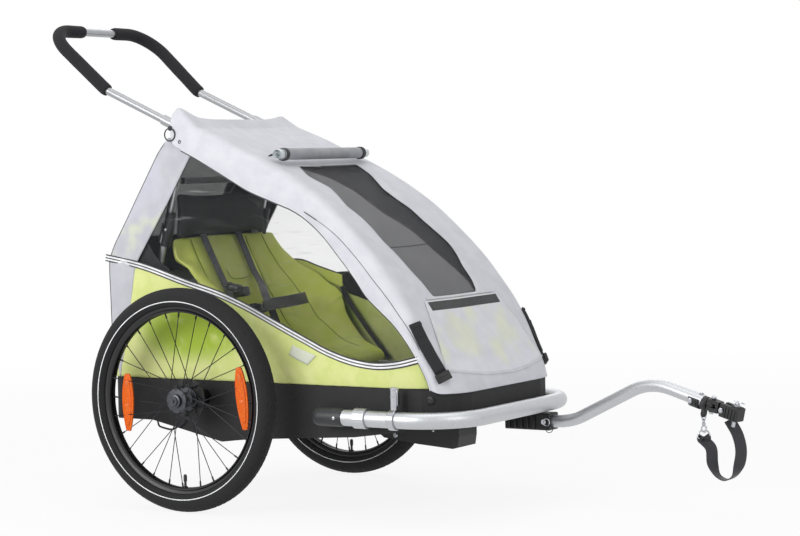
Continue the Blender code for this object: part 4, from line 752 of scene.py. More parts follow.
def wrinkle_roof(rows):
    normals = lattice_normals(rows, COVER_CENTRE)
    top = 1 - ease(np.abs(rows[..., 1]), 0.16, 0.21)
    sag = -0.0035 * top * (1 - (rows[..., 1] / 0.2) ** 2)
    waves = 0.0016 * noise_at(rows, 7.0, 1.0) + 0.0009 * noise_at(rows, 16.0, 4.0, (1, 0.6, 1))
    out = rows + normals * (sag + waves)[..., None]
    for line in CREASES:
        out = crease(out, normals, *line)
    return out


def build_roof():
    rows = wrinkle_roof(SMOOTH_ROOF)
    r0, r1, c0, c1 = OPENING
    cover = Shape().lattice(rows, skip=lambda i, j: r0 <= i < r1 and c0 <= j < c1).done(
        "roof_cover", grey, "roof", ["canopy_cover"], 60, 0.0016, True)
    # the window net lies a little below the cover's edge
    patch = rows[r0 - 1:r1 + 2, c0 - 1:c1 + 2]
    m, n = patch.shape[:2]
    u, v = np.linspace(-1, 1, n)[None, :], np.linspace(0, 1, m)[:, None]
    dip = 0.0022 + 0.0035 * (1 - u ** 2) * np.sin(np.pi * v) + 0.0012 * noise_at(patch, 12.0, 7.0)
    patch = patch - lattice_normals(patch, COVER_CENTRE) * dip[..., None]
    Shape().lattice(patch).done("front_window_net", window_net, "roof", ["front_mesh"], 60, 0.0006)
    for (name, side), j in zip(SIDES.items(), (0, -1)):
        cord = spline(rows[1::3, j], 110)
        Shape().tube(cord + (0, side * 0.0006, 0), 0.0017, sides=8).done(f"hem_piping_{name}", white_tape, "roof")
        # The dark strip just below the piping is painted shadow: it stands in for the shadow line under the hem.
        Shape().ribbon(cord + (-0.0012, -side * 0.0010, -0.0026), 0.0040, 0.0009, (0.3, 0, 1)).done(
            f"hem_edge_{name}", elastic, "roof")
    return cover


SMOOTH_ROOF, OPENING = roof_rows()
roof_cover = build_roof()


# Sides, windows and rear

REAR_EDGE = [(RIM_Z, -0.2585), (0.37, -0.274), (0.52, -0.2875), (0.553, -0.2885), (0.585, -0.276), (0.836, -0.13),
             (0.862, -0.1165)]
INNER_EDGE = [(RIM_Z, -0.243), (0.348, -0.2313), (0.449, -0.2154), (0.529, -0.2065), (0.552, -0.199), (0.686, -0.114),
              (0.792, -0.052), (0.862, -0.012)]
BAND = [(-0.29, 0.56), (-0.192, 0.543), (-0.061, 0.506), (0.045, 0.477), (0.108, 0.454), (0.19, 0.418), (0.27, 0.383),
        (0.332, 0.357), (0.406, 0.337), (0.455, 0.332), (0.513, 0.337), (0.566, 0.35)]
HEM = [REAR_SIDE[0]] + [station[2:] for station in STATIONS[:12]]
SHELL_LOW, SHELL_TOP, SHELL_ROWS = 0.2868, 0.834, 46
WINDOW_LOW, WINDOW_TOP = 0.600, 0.795
LINING_ROWS = (19, 44)
CORNER_POINTS, WINDOW_MARGIN = 14, 4  # columns of one rear corner, and beside the rear window


def rear_shell():
    """Pillars, rear strips and back as one sheet that turns both rear corners."""
    heights = np.linspace(SHELL_LOW, SHELL_TOP, SHELL_ROWS)
    turn = 0.016
    rows = []
    for z in heights:
        rear, inner = float(along(REAR_EDGE, z)), float(along(INNER_EDGE, z))
        half = half_at(0.0, z) - 0.010 * float(ease(z, 0.795, 0.838))
        if z < 0.5568:
            belly = 0.007 * math.sin(math.pi * min(1, max(0, (z - SHELL_LOW) / 0.27)))
        else:
            belly = 0.006 * math.sin(math.pi * (z - 0.5568) / 0.30)
        near = [(inner + (rear + turn - inner) * t, -(half - 0.0004 + 0.0022 * math.sin(math.pi * t)))
                for t in np.linspace(0, 1, 9)[:-1]]
        near += [(rear + turn - turn * math.sin(a), -(half - turn + turn * math.cos(a)))
                 for a in np.linspace(0, TURN / 4, 6)]
        reach = half - turn
        back = [(rear - belly * math.cos(math.pi / 2 * y / reach), y) for y in np.linspace(-reach, reach, 27)[1:-1]]
        rows.append([(x, y, z) for x, y in near + back + [(x, -y) for x, y in near[::-1]]])
    rows = np.array(rows)
    normals = lattice_normals(rows, (0.1, 0.0, 0.5))
    waves = 0.0012 * noise_at(rows, 9.0, 2.0) + 0.0010 * noise_at(rows, 20.0, 5.0, (1, 0.7, 0.5))
    rows = rows + normals * waves[..., None]
    n = rows.shape[1]
    i0, i1 = (int(np.searchsorted(heights, z)) for z in (WINDOW_LOW, WINDOW_TOP))
    c0, c1 = CORNER_POINTS + WINDOW_MARGIN, n - 1 - CORNER_POINTS - WINDOW_MARGIN
    Shape().lattice(rows, skip=lambda i, j: i0 <= i < i1 and c0 <= j < c1).done(
        "rear_shell", grey_rear, angle=60, thick=0.0014, smooth=True)
    patch = (slice(i0 - 1, i1 + 2), slice(c0 - 1, c1 + 2))
    Shape().lattice(rows[patch] - normals[patch] * 0.002).done("rear_window_net", rear_net, angle=60, thick=0.0006)
    inside = slice(*LINING_ROWS)
    Shape().lattice(rows[inside] - normals[inside] * 0.0032,
                    skip=lambda i, j: i0 <= i + LINING_ROWS[0] < i1 and c0 <= j < c1).done(
        "rear_lining", dark_lining, angle=60, thick=0.0008)
    edge = [(i1, j) for j in range(c0, c1 + 1)] + [(i, c1) for i in range(i1 - 1, i0 - 1, -1)]
    edge += [(i0, j) for j in range(c1 - 1, c0 - 1, -1)] + [(i, c0) for i in range(i0 + 1, i1)]
    Shape().loop([rows[spot] + normals[spot] * 0.001 for spot in edge], 0.0022, 8).done("rear_window_binding", elastic)
    for name, j in (("right", 10), ("left", n - 11)):
        Shape().tube(rows[1:-1, j] + normals[1:-1, j] * 0.0006, 0.0013, sides=6).done(
            f"rear_corner_piping_{name}", elastic)


def side_panel(name, side):
    """The lime lower panel with its drag folds above the tub."""
    band = spline(BAND, 300)
    rows = []
    for t in np.linspace(0, 1, 18):
        row = []
        for u in np.linspace(0, 1, 96):
            x, low_x = -0.222 + (0.568 + 0.222) * u, -0.258 + (0.584 + 0.258) * u
            px, pz = low_x + (x - low_x) * t, 0.2862 + (along(band, x) - 0.2862) * t
            lean = 0.5 + 0.5 * math.sin(TURN * (px * 27 + pz * 19))
            fade = float(ease(px, -0.05, 0.08)) * float(1 - ease(px, 0.46, 0.56))
            folds = 0.0016 * lean * math.exp(-((t - 0.06) / 0.30) ** 2) * fade
            puff = 0.0042 * math.sin(math.pi * t) ** 0.8 * math.sin(math.pi * min(1, max(0, (px + 0.26) / 0.83)))
            row.append(on_wall(px, pz, side, 0.0008 - folds - puff))
        rows.append(row)
    rows = np.array(rows)
    rows[..., 1] += side * 0.0009 * noise_at(rows, 14.0, 3.0, (1, 1, 0.6))
    Shape().lattice(rows).done(f"side_panel_{name}", lime_side, angle=60, thick=0.0014, smooth=True)


def side_film(name, side):
    band, hem = spline(BAND, 300), spline(HEM, 160)
    down, across = np.linspace(0, 1, 22), np.linspace(0, 1, 64)
    tops = columns_at(across ** 0.95 * (len(hem) - 1), np.arange(len(hem)), hem) + (-0.002, 0.008)
    rows = []
    for t in down:
        row = []
        for u, (x1, z1) in zip(across, tops):
            x0 = -0.212 + (0.552 + 0.212) * u
            z0 = along(band, x0) - 0.003
            row.append(on_wall(x0 + (x1 - x0) * t, z0 + (z1 - z0) * t, side, 0.0034))
        rows.append(row)
    rows = np.array(rows)
    fade = np.sin(np.pi * down)[:, None] * np.sin(np.pi * across)[None, :]
    ripple = 0.0016 * np.sin(rows[..., 2] * 210 + rows[..., 0] * 34) * (noise_at(rows, 5.0, 9.0) > -0.05)
    rows[..., 1] += side * fade * (ripple + 0.0035 * noise_at(rows, 5.5, 3.0) - 0.003)
    Shape().lattice(rows).done(f"side_film_{name}", film_clear, "trailer", [f"side_window_{name}"], 60, 0.0005, True)


def side_band(name, side):
    """Reflective band: black edges, two white lines and a thin dark one between them."""
    path = np.array([on_wall(x, z, side, -0.0016) for x, z in even(spline(BAND, 260), 0.006)])
    tangent = np.gradient(path, axis=0)
    across = np.stack([-tangent[:, 2], np.zeros(len(path)), tangent[:, 0]], 1)
    Shape().ribbon(path, 0.0165, 0.0018, across).done(f"side_band_{name}", strap_black)
    lines = Shape()
    for shift in (-0.0033, 0.0033):
        lines.ribbon(path + unit(across) * shift + (0, side * 0.0009, 0), 0.0040, 0.0010, across)
    lines.done(f"side_band_lines_{name}", stripe)


rear_shell()
for build in (side_panel, side_film, side_band):
    for side_name, side_sign in SIDES.items():
        build(side_name, side_sign)


# Things laid on the cover

bpy.context.view_layer.update()
_ready = roof_cover.evaluated_get(bpy.context.evaluated_depsgraph_get())
_mesh = _ready.to_mesh()
roof_tree = BVHTree.FromPolygons([v.co.copy() for v in _mesh.vertices], [list(p.vertices) for p in _mesh.polygons])
_ready.to_mesh_clear()
ROLL_AT, ROLL_HALF, ROLL_TURNS, ROLL_POINTS = Vector((0.1630, 0, 0.7912)), 0.1655, 5.25, 148
ROLL_CORE, ROLL_SKIN = 0.0036, 0.0138  # radii where the roll's cloth starts and ends


def nearest_on_cover(point):
    spot, normal, _, _ = roof_tree.find_nearest(point)
    return spot, normal if normal.dot(spot - Vector((0.15, 0, 0.45))) >= 0 else -normal


def lay(points, lift):
    """Points moved onto the cover, a lift above it, and the cover's outward normals there."""
    where, normals = [], []
    for q in points:
        out = Vector(q) - Vector((0.15, q[1] * 0.6, 0.40))
        spot, normal = nearest_on_cover(Vector(q) + out.normalized() * 0.009)
        where.append(tuple(spot + normal * lift))
        normals.append(tuple(normal))
    n = np.array(normals)
    for _ in range(3):
        n[1:-1] = (n[:-2] + n[1:-1] * 2 + n[2:]) / 4
    return np.array(where), unit(n)


def laid_ribbon(shape, points, width, thick, lift, count):
    where, normals = lay(spline(points, count), lift)
    shape.ribbon(where, width, thick, np.cross(normals, np.gradient(where, axis=0)))
    return where, normals


def front_flap():
    """The lower flap with its curved hem."""
    lower = spline([(-0.215, 0.322), (-0.181, 0.313), (-0.114, 0.3), (-0.026, 0.292), (0.072, 0.292), (0.145, 0.301),
                    (0.198, 0.313), (0.215, 0.32)], 120)
    front = [(0.285, 0.6175), (0.31, 0.61), (0.35, 0.594), (0.405, 0.563), (0.476, 0.518)]
    rows = []
    for t in np.linspace(0, 1, 26):
        row = []
        for u in np.linspace(-1, 1, 44):
            y_low = u * 0.214
            z = 0.466 + (float(along(lower, y_low)) - 0.466) * t
            spot, normal = nearest_on_cover(Vector((float(along(front, z)), u * 0.158 + (y_low - u * 0.158) * t, z)))
            row.append(tuple(spot + normal * 0.0022))
        rows.append(row)
    Shape().lattice(rows).done("front_flap", grey_blotched, "roof", angle=60, thick=0.0014)
    Shape().tube(np.array(rows[-1]) + (0.0006, 0, 0), 0.0016, sides=8).done("front_flap_hem", white_tape, "roof")


def cover_strap(name, side):
    """A hold-down strap with its buckle at a front corner."""
    straps = Shape()
    spots = [(x, side * y, z) for x, y, z in ((0.539, 0.236, 0.426), (0.556, 0.236, 0.395), (0.576, 0.233, 0.36),
                                              (0.596, 0.229, 0.328), (0.606, 0.226, 0.308))]
    where, normals = (([Vector(q) for q in rows]) for rows in laid_ribbon(straps, spots, 0.0270, 0.0024, 0.0034, 22))
    laid_ribbon(straps, spots[1:4], 0.0250, 0.0018, 0.0056, 14)
    end, normal, down = where[-2], normals[-2], (where[-1] - where[-4]).normalized()
    turn = Matrix((normal.cross(down).normalized(), down, normal)).transposed()
    straps.block(end + normal * 0.0035, (0.034, 0.020, 0.0075), 0.0022, turn, mat=1)
    straps.block(end + normal * 0.0065 - down * 0.004, (0.022, 0.008, 0.0045), 0.0015, turn, mat=1)
    down = (where[3] - where[1]).normalized()
    turn = Matrix((normals[1].cross(down), down, normals[1])).transposed()
    straps.block(where[1] + normals[1] * 0.0012, (0.0285, 0.005, 0.0030), 0.0008, turn)
    straps.done(f"cover_strap_{name}", [tab_black, black_plastic], "roof")


def cover_seam(name, side):
    """A piped seam along a side of the cover, above its hem."""
    line = [(0.262, 0.656), (0.29, 0.641), (0.338, 0.61), (0.393, 0.56), (0.445, 0.504), (0.482, 0.463),
            (0.523, 0.405), (0.545, 0.366)]
    where, _ = lay(spline([(x, side * 0.229, z) for x, z in line], 90), 0.0006)
    Shape().tube(where, 0.0014, sides=6).done(f"cover_seam_{name}", elastic, "roof")


def snap_stud(name, side):
    """A stud on a rear corner of the hood."""
    profile = [(0.0052, -0.0004), (0.0052, 0.0008), (0.004, 0.0018), (0.0024, 0.0022), (0.0018, 0.0014)]
    Shape().lathe(profile, on_wall(-0.080, 0.8235, side, -0.0012), Y * side, sides=24).done(
        f"snap_stud_{name}", gloss_plastic, "roof")


def bare_tag():
    """A bare pale tag on the near panel."""
    corners = [(0.24, 0.372), (0.231, 0.35), (0.281, 0.329), (0.303, 0.35)]
    a, b, c, d = (Vector(on_wall(x, z, -1.0, -0.0044)) for x, z in corners)
    rows = [[tuple(a.lerp(d, u).lerp(b.lerp(c, u), v) - Y * 0.0015 * math.sin(math.pi * u) * v)
             for u in np.linspace(0, 1, 9)] for v in np.linspace(0, 1, 6)]
    Shape().lattice(rows).done("bare_tag", tag_cloth, thick=0.0008)


def build_roll():
    at = lambda r, a, y: (ROLL_AT.x + r * math.cos(a), y, ROLL_AT.z + r * math.sin(a))
    turns = np.linspace(0.0, TURN * ROLL_TURNS, ROLL_POINTS) + 2.2
    reach = ROLL_CORE + (ROLL_SKIN - ROLL_CORE) * (turns - turns[0]) / (turns[-1] - turns[0])
    rows = []
    for y in np.linspace(-ROLL_HALF, ROLL_HALF, 26):
        pinch = 0.05 * math.exp(-((abs(y) - 0.150) / 0.007) ** 2)
        row = []
        for a, r in zip(turns, reach):
            ripple = 0.030 * noise.noise(Vector((math.cos(a) * 1.6, y * 14, math.sin(a) * 1.6)))
            row.append(at(r * (1 + ripple - pinch), a, y + 0.0012 * math.sin(a * 0.5) * (abs(y) > 0.160)))
        rows.append(row)
    Shape().lattice(rows).done("rolled_cover", roll_cloth, "roof", ["cover_roll"], 60, 0.0008)
    bands, ends = Shape(), Shape()
    for side in (-1, 1):
        bands.lathe([(0.012, -0.006), (0.0146, -0.0056), (0.0149, 0.0), (0.0146, 0.0056), (0.012, 0.006)],
                    ROLL_AT + Y * side * 0.1575, sides=40, closed=True)
        spiral = [at(0.0040 + 0.0031 * a / TURN, a, side * (ROLL_HALF + 0.0095))
                  for a in np.linspace(0, TURN * 2.6, 80)]
        ends.ribbon(spiral, 0.0170, 0.0007, Y)
    bands.done("roll_bands", tab_black, "roof")
    ends.done("roll_film_ends", roll_film, "roof")
    tip = [ROLL_AT + Vector(q) for q in ((-0.012, -0.156, 0.004), (-0.019, -0.17, 0), (-0.0235, -0.183, -0.003))]
    Shape().ribbon(spline(tip, 10), 0.0100, 0.0014, (0.4, 0, 1), scale=np.linspace(1.0, 0.35, 10)).done(
        "roll_tie_end", strap_black, "roof")


for piece, paint, ends, thick, where in (
    ("hook_and_loop_strip", tab_black, (-0.147, 0.147), (0.023, 0.0022), (0.528, 0.456)),
    ("hook_strip_binding", white_tape, (-0.140, 0.145), (0.0050, 0.0016), (0.5185, 0.4735)),
):
    strip = Shape()
    laid_ribbon(strip, [(where[0], y, where[1]) for y in (ends[0], -0.07, 0.0, 0.07, ends[1])], *thick, thick[1], 22)
    strip.done(piece, paint, "roof")
front_flap()
for build in (cover_strap, cover_seam, snap_stud):
    for side_name, side_sign in SIDES.items():
        build(side_name, side_sign)
bare_tag()
build_roll()


# Seat, straps and lining

SLING = [(-0.137, 0.606), (-0.118, 0.565), (-0.092, 0.515), (-0.062, 0.465), (-0.03, 0.415), (0.0, 0.379),
         (0.04, 0.354), (0.09, 0.34), (0.14, 0.331), (0.172, 0.323), (0.184, 0.308), (0.183, 0.294), (0.176, 0.284),
         (0.168, 0.274)]
WING = [(0.0, -0.004), (0.02, -0.012), (0.045, -0.018), (0.062, -0.006), (0.08, 0.01), (0.101, 0.014), (0.13, 0.024),
        (0.16, 0.037), (0.19, 0.052), (0.219, 0.064), (0.24, 0.064), (0.263, 0.05), (0.29, 0.026), (0.32, 0.006),
        (0.35, 0.0)]
FAR_WING = [(0.0, 0.0), (0.05, 0.012), (0.103, 0.036), (0.16, 0.074), (0.22, 0.1), (0.265, 0.102), (0.3, 0.092),
            (0.33, 0.07), (0.36, 0.044), (0.4, 0.016), (0.44, 0.002), (0.6, 0.0)]
HALF_SEAT, FAR_SEAT = 0.168, 0.222
BELTS = [  # piece, its node, width, width direction at the start and at the end, where it turns, points
    ("shoulder_webbing_right", "shoulder_strap_right", 0.025, (0, 1, 0), (0, 1, 0.3), 0.8,
     [(-0.133, -0.07, 0.6085), (-0.1105, -0.07, 0.564), (-0.085, -0.07, 0.516), (-0.056, -0.072, 0.47),
      (-0.025, -0.09, 0.462), (0.002, -0.128, 0.486)]),
    ("shoulder_webbing_left", "shoulder_strap_left", 0.025, (0, 1, 0), (0.15, 1, 0), 0.6,
     [(-0.133, 0.07, 0.6085), (-0.1105, 0.069, 0.564), (-0.085, 0.062, 0.52), (-0.048, 0.045, 0.484),
      (-0.018, 0.018, 0.46), (0.004, 0.002, 0.44), (0.026, -0.002, 0.396), (0.044, -0.004, 0.356)]),
    ("lap_webbing", "lap_belt", 0.028, (-0.35, 0, 0.94), (1, 0, 0.05), 0.78,
     [(0.008, 0.15, 0.448), (0.016, 0.12, 0.4475), (0.022, 0.05, 0.445), (0.028, -0.02, 0.444), (0.037, -0.075, 0.44),
      (0.047, -0.112, 0.435), (0.054, -0.145, 0.433)]),
]
ADJUSTER = [  # centre, size, bevel, tilt, steps of the bevel
    ((0.01, -0.146, 0.4885), (0.034, 0.026, 0.017), 0.005, 8, 4),
    ((0.026, -0.128, 0.479), (0.02, 0.02, 0.022), 0.005, -14, 4),
    ((-0.004, -0.15, 0.496), (0.012, 0.022, 0.01), 0.003, 0, 3),
]
SEAM_COLUMN = 28  # a column of the cover's lattice in the middle of its near half
FLAP_NEAR, FLAP_FAR = 22, 14  # columns of the inner flap on both sides of its seam

seat_line = spline(SLING, 78)
seat_arc = arc_of(seat_line)
seat_out = unit(np.gradient(seat_line, axis=0))[:, ::-1] * (-1, 1)


def seat_point(y, k, lift=0.0):
    """A point of the seat cloth: a bolster on the near side, and on the far side the cloth runs up to the wall."""
    arc = seat_arc[k]
    wing = float(along(WING if y < 0 else FAR_WING, arc))
    if y < 0:
        roll = wing * float(ease(-y, 0.105, 0.142)) * (1 - 0.30 * float(ease(-y, 0.155, 0.172)))
    else:
        roll = wing * max(0.0, (y - 0.120) / (FAR_SEAT - 0.120)) ** 1.5
    seam = -0.0035 * math.exp(-((abs(y) - 0.108) / 0.0035) ** 2)
    crown = 0.006 * (1 - (y / 0.11) ** 2) * (0.5 + 0.5 * math.sin(arc * 16)) if abs(y) < 0.11 else 0.0
    pull = 0.0016 * math.sin(arc * 62 - y * 34) * float(ease(y, 0.0, 0.12)) * float(ease(arc, 0.10, 0.22))
    x, z = seat_line[k] + seat_out[k] * (roll + seam + crown * 0.6 + pull - 0.004 + lift)
    return (x, y, z)


def build_sling():
    steps = [(-0.164, -0.116, 9), (-0.111, -0.104, 5), (-0.095, 0.095, 19), (0.104, 0.111, 5), (0.116, 0.216, 18)]
    across = np.r_[-HALF_SEAT, np.concatenate([np.linspace(*step) for step in steps]), FAR_SEAT]
    at_sides = np.clip(np.minimum(across + HALF_SEAT, FAR_SEAT - across) / 0.010, 0.25, 1) ** 0.5
    rows = []
    for k, out in enumerate(seat_out):
        top = np.array([seat_point(y, k) for y in across])
        bump = 0.0012 * noise_at(top, 13.0, 2.0) + 0.0008 * noise_at(top, 34.0, 5.0, (1, 0.5, 1))
        top[:, [0, 2]] += out * bump[:, None]
        thick = 0.014 * at_sides * min(1.0, 0.35 + min(k, len(seat_line) - 1 - k) / 3)
        low = top.copy()
        low[:, [0, 2]] -= out * thick[:, None]
        rows.append(np.concatenate([top, low[::-1]]))
    sling = Shape().lattice(rows, wrap=True, caps=True).done(
        "seat_sling", lime_painted_light, replaces=["seat_base", "seat_back"], angle=60, smooth=True)
    seams = Shape()
    for y in (-0.108, 0.108, 0.172):
        seams.tube([seat_point(y, k, 0.0008) for k in range(1, 64)], 0.0010, sides=6)
    patch = [(-0.03, 14), (-0.028, 17), (-0.015, 18), (0.02, 18), (0.05, 17)]
    seams.tube([seat_point(y, k, 0.0012) for y, k in patch], 0.0009, sides=6)
    seams.done("seat_seams", seam_thread)


def build_belts():
    for name, node, width, first, last, turn_at, spots in BELTS:
        t = ease(np.linspace(0, 1, 70), turn_at - 0.12, turn_at + 0.12)[:, None]
        Shape().ribbon(spline(spots, 70), width, 0.0020, np.array(first) * (1 - t) + np.array(last) * t).done(
            name, strap_black, replaces=[node])
    adjuster = Shape()
    for centre, size, bevel, tilt, steps in ADJUSTER:
        adjuster.block(centre, size, bevel, Matrix.Rotation(math.radians(tilt), 3, "Y"), segments=steps)
    adjuster.done("belt_adjuster", black_plastic)


def build_headrest():
    heights = np.linspace(0, 1, 26)
    ys = np.linspace(-0.1765, 0.1765, 48)
    rows = []
    for t in heights:
        x = np.interp(t, [0, 0.45, 1], [-0.1290, -0.1270, -0.1235])
        end = min(1.0, 0.30 + min(t, 1 - t) * 7)
        hem = 1 + 0.25 * math.exp(-((t - 0.90) / 0.05) ** 2) - 0.30 * math.exp(-((t - 0.80) / 0.02) ** 2)
        row = []
        for face in (1, -1):
            for y in ys[::face]:
                edge = math.sqrt(min(1.0, 0.2 + (0.1775 - abs(y)) / 0.016))
                z = 0.6015 + 0.1065 * t + 0.0012 * math.sin(y * 40) * (t - 0.5)
                row.append((x + face * 0.0085 * end * edge * hem, y, z))
        rows.append(row)
    rows = np.array(rows)
    rows[..., 0] += 0.0040 * noise_at(rows, 11.0, 4.0, (0.2, 1, 1.6)) * np.sin(np.pi * heights)[:, None]
    cushion = Shape().lattice(rows, wrap=True, caps=True).done("head_cushion", black_cloth, angle=60)
    puff(cushion)
    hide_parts("headrest")


def puff(obj, voxel=0.005, pressure=4.0, cap=0.008):
    """Fills a closed pad with air in a short cloth run and keeps the shape it takes."""
    scene = bpy.context.scene
    remesh = obj.modifiers.new("remesh", "REMESH")
    remesh.mode, remesh.voxel_size = "VOXEL", voxel
    mesh = bpy.data.meshes.new_from_object(obj.evaluated_get(bpy.context.evaluated_depsgraph_get()))
    for modifier in list(obj.modifiers):
        obj.modifiers.remove(modifier)
    obj.data = mesh
    air = obj.modifiers.new("air", "CLOTH")
    air.settings.use_pressure = True
    air.settings.uniform_pressure_force = pressure
    air.settings.effector_weights.gravity = 0.0
    air.settings.tension_stiffness = air.settings.compression_stiffness = 12
    before = np.array([tuple(v.co) for v in mesh.vertices])
    for number in range(1, 21):
        scene.frame_set(number)
    after = obj.evaluated_get(bpy.context.evaluated_depsgraph_get()).to_mesh()
    change = np.array([tuple(v.co) for v in after.vertices]) - before
    size = np.linalg.norm(change, axis=1, keepdims=True)
    moved = before + change * np.minimum(1, cap / np.maximum(size, 1e-9))
    obj.modifiers.remove(air)
    mesh.vertices.foreach_set("co", moved.reshape(-1))
    mesh.shade_smooth()
    scene.frame_set(1)
    subdivide(obj)


def wall_patch(name, top, low, side, inset, paint):
    """Cloth against the inside of a wall, between an upper and a lower line."""
    top, low = spline(top, 40), spline(low, 40)
    rows = np.array([[on_wall(*(a * (1 - t) + b * t), side, inset) for a, b in zip(top, low)]
                     for t in np.linspace(0, 1, 8)])
    rows[..., 1] += side * 0.0010 * noise_at(rows, 22.0)
    Shape().lattice(rows).done(name, paint, angle=60, thick=0.0010)


def build_lining():
    for name, side in SIDES.items():
        wall_patch(f"rear_side_lining_{name}",
                   [(-0.196, 0.66), (-0.186, 0.622), (-0.171, 0.592), (-0.148, 0.56), (-0.111, 0.5345)],
                   [(-0.236, 0.578), (-0.219, 0.553), (-0.195, 0.546), (-0.15, 0.534), (-0.112, 0.522)],
                   side, 0.0075, dark_lining)
    upper = [(-0.111, 0.5325), (-0.059, 0.5335), (-0.012, 0.519), (0.0445, 0.502), (0.058, 0.498)]
    lower = [(-0.111, 0.518), (-0.061, 0.502), (-0.012, 0.488), (0.0445, 0.472), (0.058, 0.467)]
    wall_patch("side_lining_left", upper, lower, 1.0, 0.0080, lime_painted_light)
    Shape().tube([on_wall(x, z + 0.0010, 1.0, 0.0085) for x, z in spline(upper[:4], 40)], 0.0017, sides=8).done(
        "side_lining_hem_left", elastic)
    wall_patch("corner_lining_left", [(0.054, 0.495), (0.076, 0.501), (0.1065, 0.481), (0.134, 0.44)],
               [(0.058, 0.478), (0.074, 0.455), (0.1, 0.446), (0.131, 0.436)], 1.0, 0.0075, dark_lining)
    line = spline([(0.056, 0.47), (0.066, 0.448), (0.113, 0.381), (0.179, 0.3)], 40)
    Shape().ribbon([on_wall(x, z, 1.0, 0.0095) for x, z in line], 0.0110, 0.0016, (0.83, 0, 0.56)).done(
        "side_webbing_left", strap_black)
    tie = spline([(-0.152, 0.118, 0.75), (-0.158, 0.1, 0.725), (-0.163, 0.082, 0.7)], 14)
    Shape().ribbon(tie, 0.0070, 0.0012, (0, 1, 0.3)).done("rear_tie", strap_black)
    sleeve = [(0.0063, -0.168), (0.0076, -0.168), (0.0076, 0.168), (0.0063, 0.168)]
    Shape().lathe(sleeve, (-0.1144, 0, 0.735), sides=24, closed=True).done("back_bar_sleeve", elastic, "uprights")


def build_inner_flap():
    """The layer under the front window: pale cloth up to a slanting seam, and dark cloth beyond it. The dark cloth is
    painted shade for the shadowed inside seen through the net, and the pale cloth is brightened past the cover's grey
    as painted light.
    """
    r0, r1, c0, c1 = OPENING
    slant = [(0.16, -0.085), (0.175, -0.073), (0.213, -0.039), (0.26, -0.018), (0.304, -0.02), (0.342, -0.011),
             (0.392, 0.029), (0.438, 0.049), (0.482, 0.081), (0.507, 0.097), (0.53, 0.1)]
    spread = lambda a, b, c: np.r_[np.linspace(a, b, FLAP_NEAR), np.linspace(b, c, FLAP_FAR)[1:]]
    rows = []
    for row in SMOOTH_ROOF[r0 - 1:r1 + 1]:
        x, _, z = row[SEAM_COLUMN]
        seam = float(along(slant, x))
        rows.append([(x, y, z) for y in spread(row[c0 - 1, 1] - 0.006, seam, max(row[c1 + 1, 1] + 0.030, seam + 0.02))])
    rows = np.array(rows)
    normals = lattice_normals(rows)
    normals *= np.sign(normals[..., 2:3])
    hang = 0.0115 + 0.0030 * np.sin(np.pi * spread(0, 1, 0)) + 0.0016 * noise_at(rows, 14.0, 6.0)
    rows = rows - normals * hang[..., None]
    # Painted light and shade: the first material is pale cloth brightened to stand in for light, the second is dark
    # cloth standing in for shade.
    Shape().lattice(rows[:, :FLAP_NEAR]).lattice(rows[:, FLAP_NEAR - 1:], mat=1).done(
        "inner_flap", [grey_flap_painted_light, dark_lining], "roof", angle=60, thick=0.0010, smooth=True)
    k = int(np.argmin(abs(rows[:, 0, 0] - 0.418)))
    hem = Shape().tube(rows[:, FLAP_NEAR - 1] + normals[:, FLAP_NEAR - 1] * 0.0010, 0.0014, sides=6)
    hem.tube(rows[k, :FLAP_NEAR] + normals[k, :FLAP_NEAR] * 0.0008, 0.0011, sides=6)
    hem.done("inner_flap_hem", elastic, "roof")


def strut_sleeve(name, side):
    """A black sleeve on a folding strut, with its rivet."""
    foot, top = Vector((-0.235, side * 0.1885, 0.262)), Vector((-0.085, side * 0.1885, 0.850))
    middle = foot + (top - foot) * 0.615
    profile = [(0.0084, 0.04), (0.0108, 0.04), (0.0116, 0.037), (0.0116, 0.012), (0.0132, 0.008)]
    Shape().lathe([(r, -a) for r, a in profile] + profile[::-1], middle, top - foot, sides=36, closed=True).lathe(
        [(0.0048, 0.0), (0.0048, 0.001), (0.0036, 0.0024), (0.0014, 0.0028)], middle + Y * side * 0.0126, Y * side,
        sides=20, mat=1).done(f"strut_sleeve_{name}", [black_plastic, bright_steel], "uprights")


build_sling()
build_belts()
build_headrest()
build_lining()
build_inner_flap()
for side_name, side_sign in SIDES.items():
    strut_sleeve(side_name, side_sign)


# Seat and wall pieces take meshes of their own

SEAT_PIECES = ("seat_", "shoulder_", "lap_", "belt_", "head_cushion")
WALL_PIECES = ("rear_", "side_", "corner_", "bare_tag")


for piece in [o for o in bpy.data.objects if o.type == "MESH" and "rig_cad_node" not in o]:
    if piece.name.startswith(SEAT_PIECES):
        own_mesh(piece)
    elif piece.name.startswith(WALL_PIECES):
        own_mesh(piece)


# Wheels

TYRE = [  # radius, across, and which row of tread blocks the point belongs to
    (0.2085, 0.0118, 0), (0.2105, 0.015, 0), (0.215, 0.0197, 0), (0.219, 0.0221, 0), (0.2196, 0.0227, 0),
    (0.2216, 0.023, 0), (0.2222, 0.023, 0), (0.2265, 0.0234, 0), (0.2325, 0.0229, 0), (0.2368, 0.0216, 1),
    (0.24, 0.02, 1), (0.2428, 0.0178, 1), (0.2446, 0.0157, 1), (0.2442, 0.0146, 0), (0.2464, 0.013, 2),
    (0.248, 0.0104, 2), (0.2488, 0.0084, 2), (0.248, 0.0073, 0), (0.2496, 0.006, 3), (0.25, 0.0028, 3),
    (0.25, 0.0, 3),
]
RIM = [(0.2085, 0.0135), (0.2085, 0.0118), (0.2045, 0.011), (0.2035, 0.0), (0.1955, 0.0), (0.1955, 0.0058),
       (0.1966, 0.0098), (0.2002, 0.0127)]
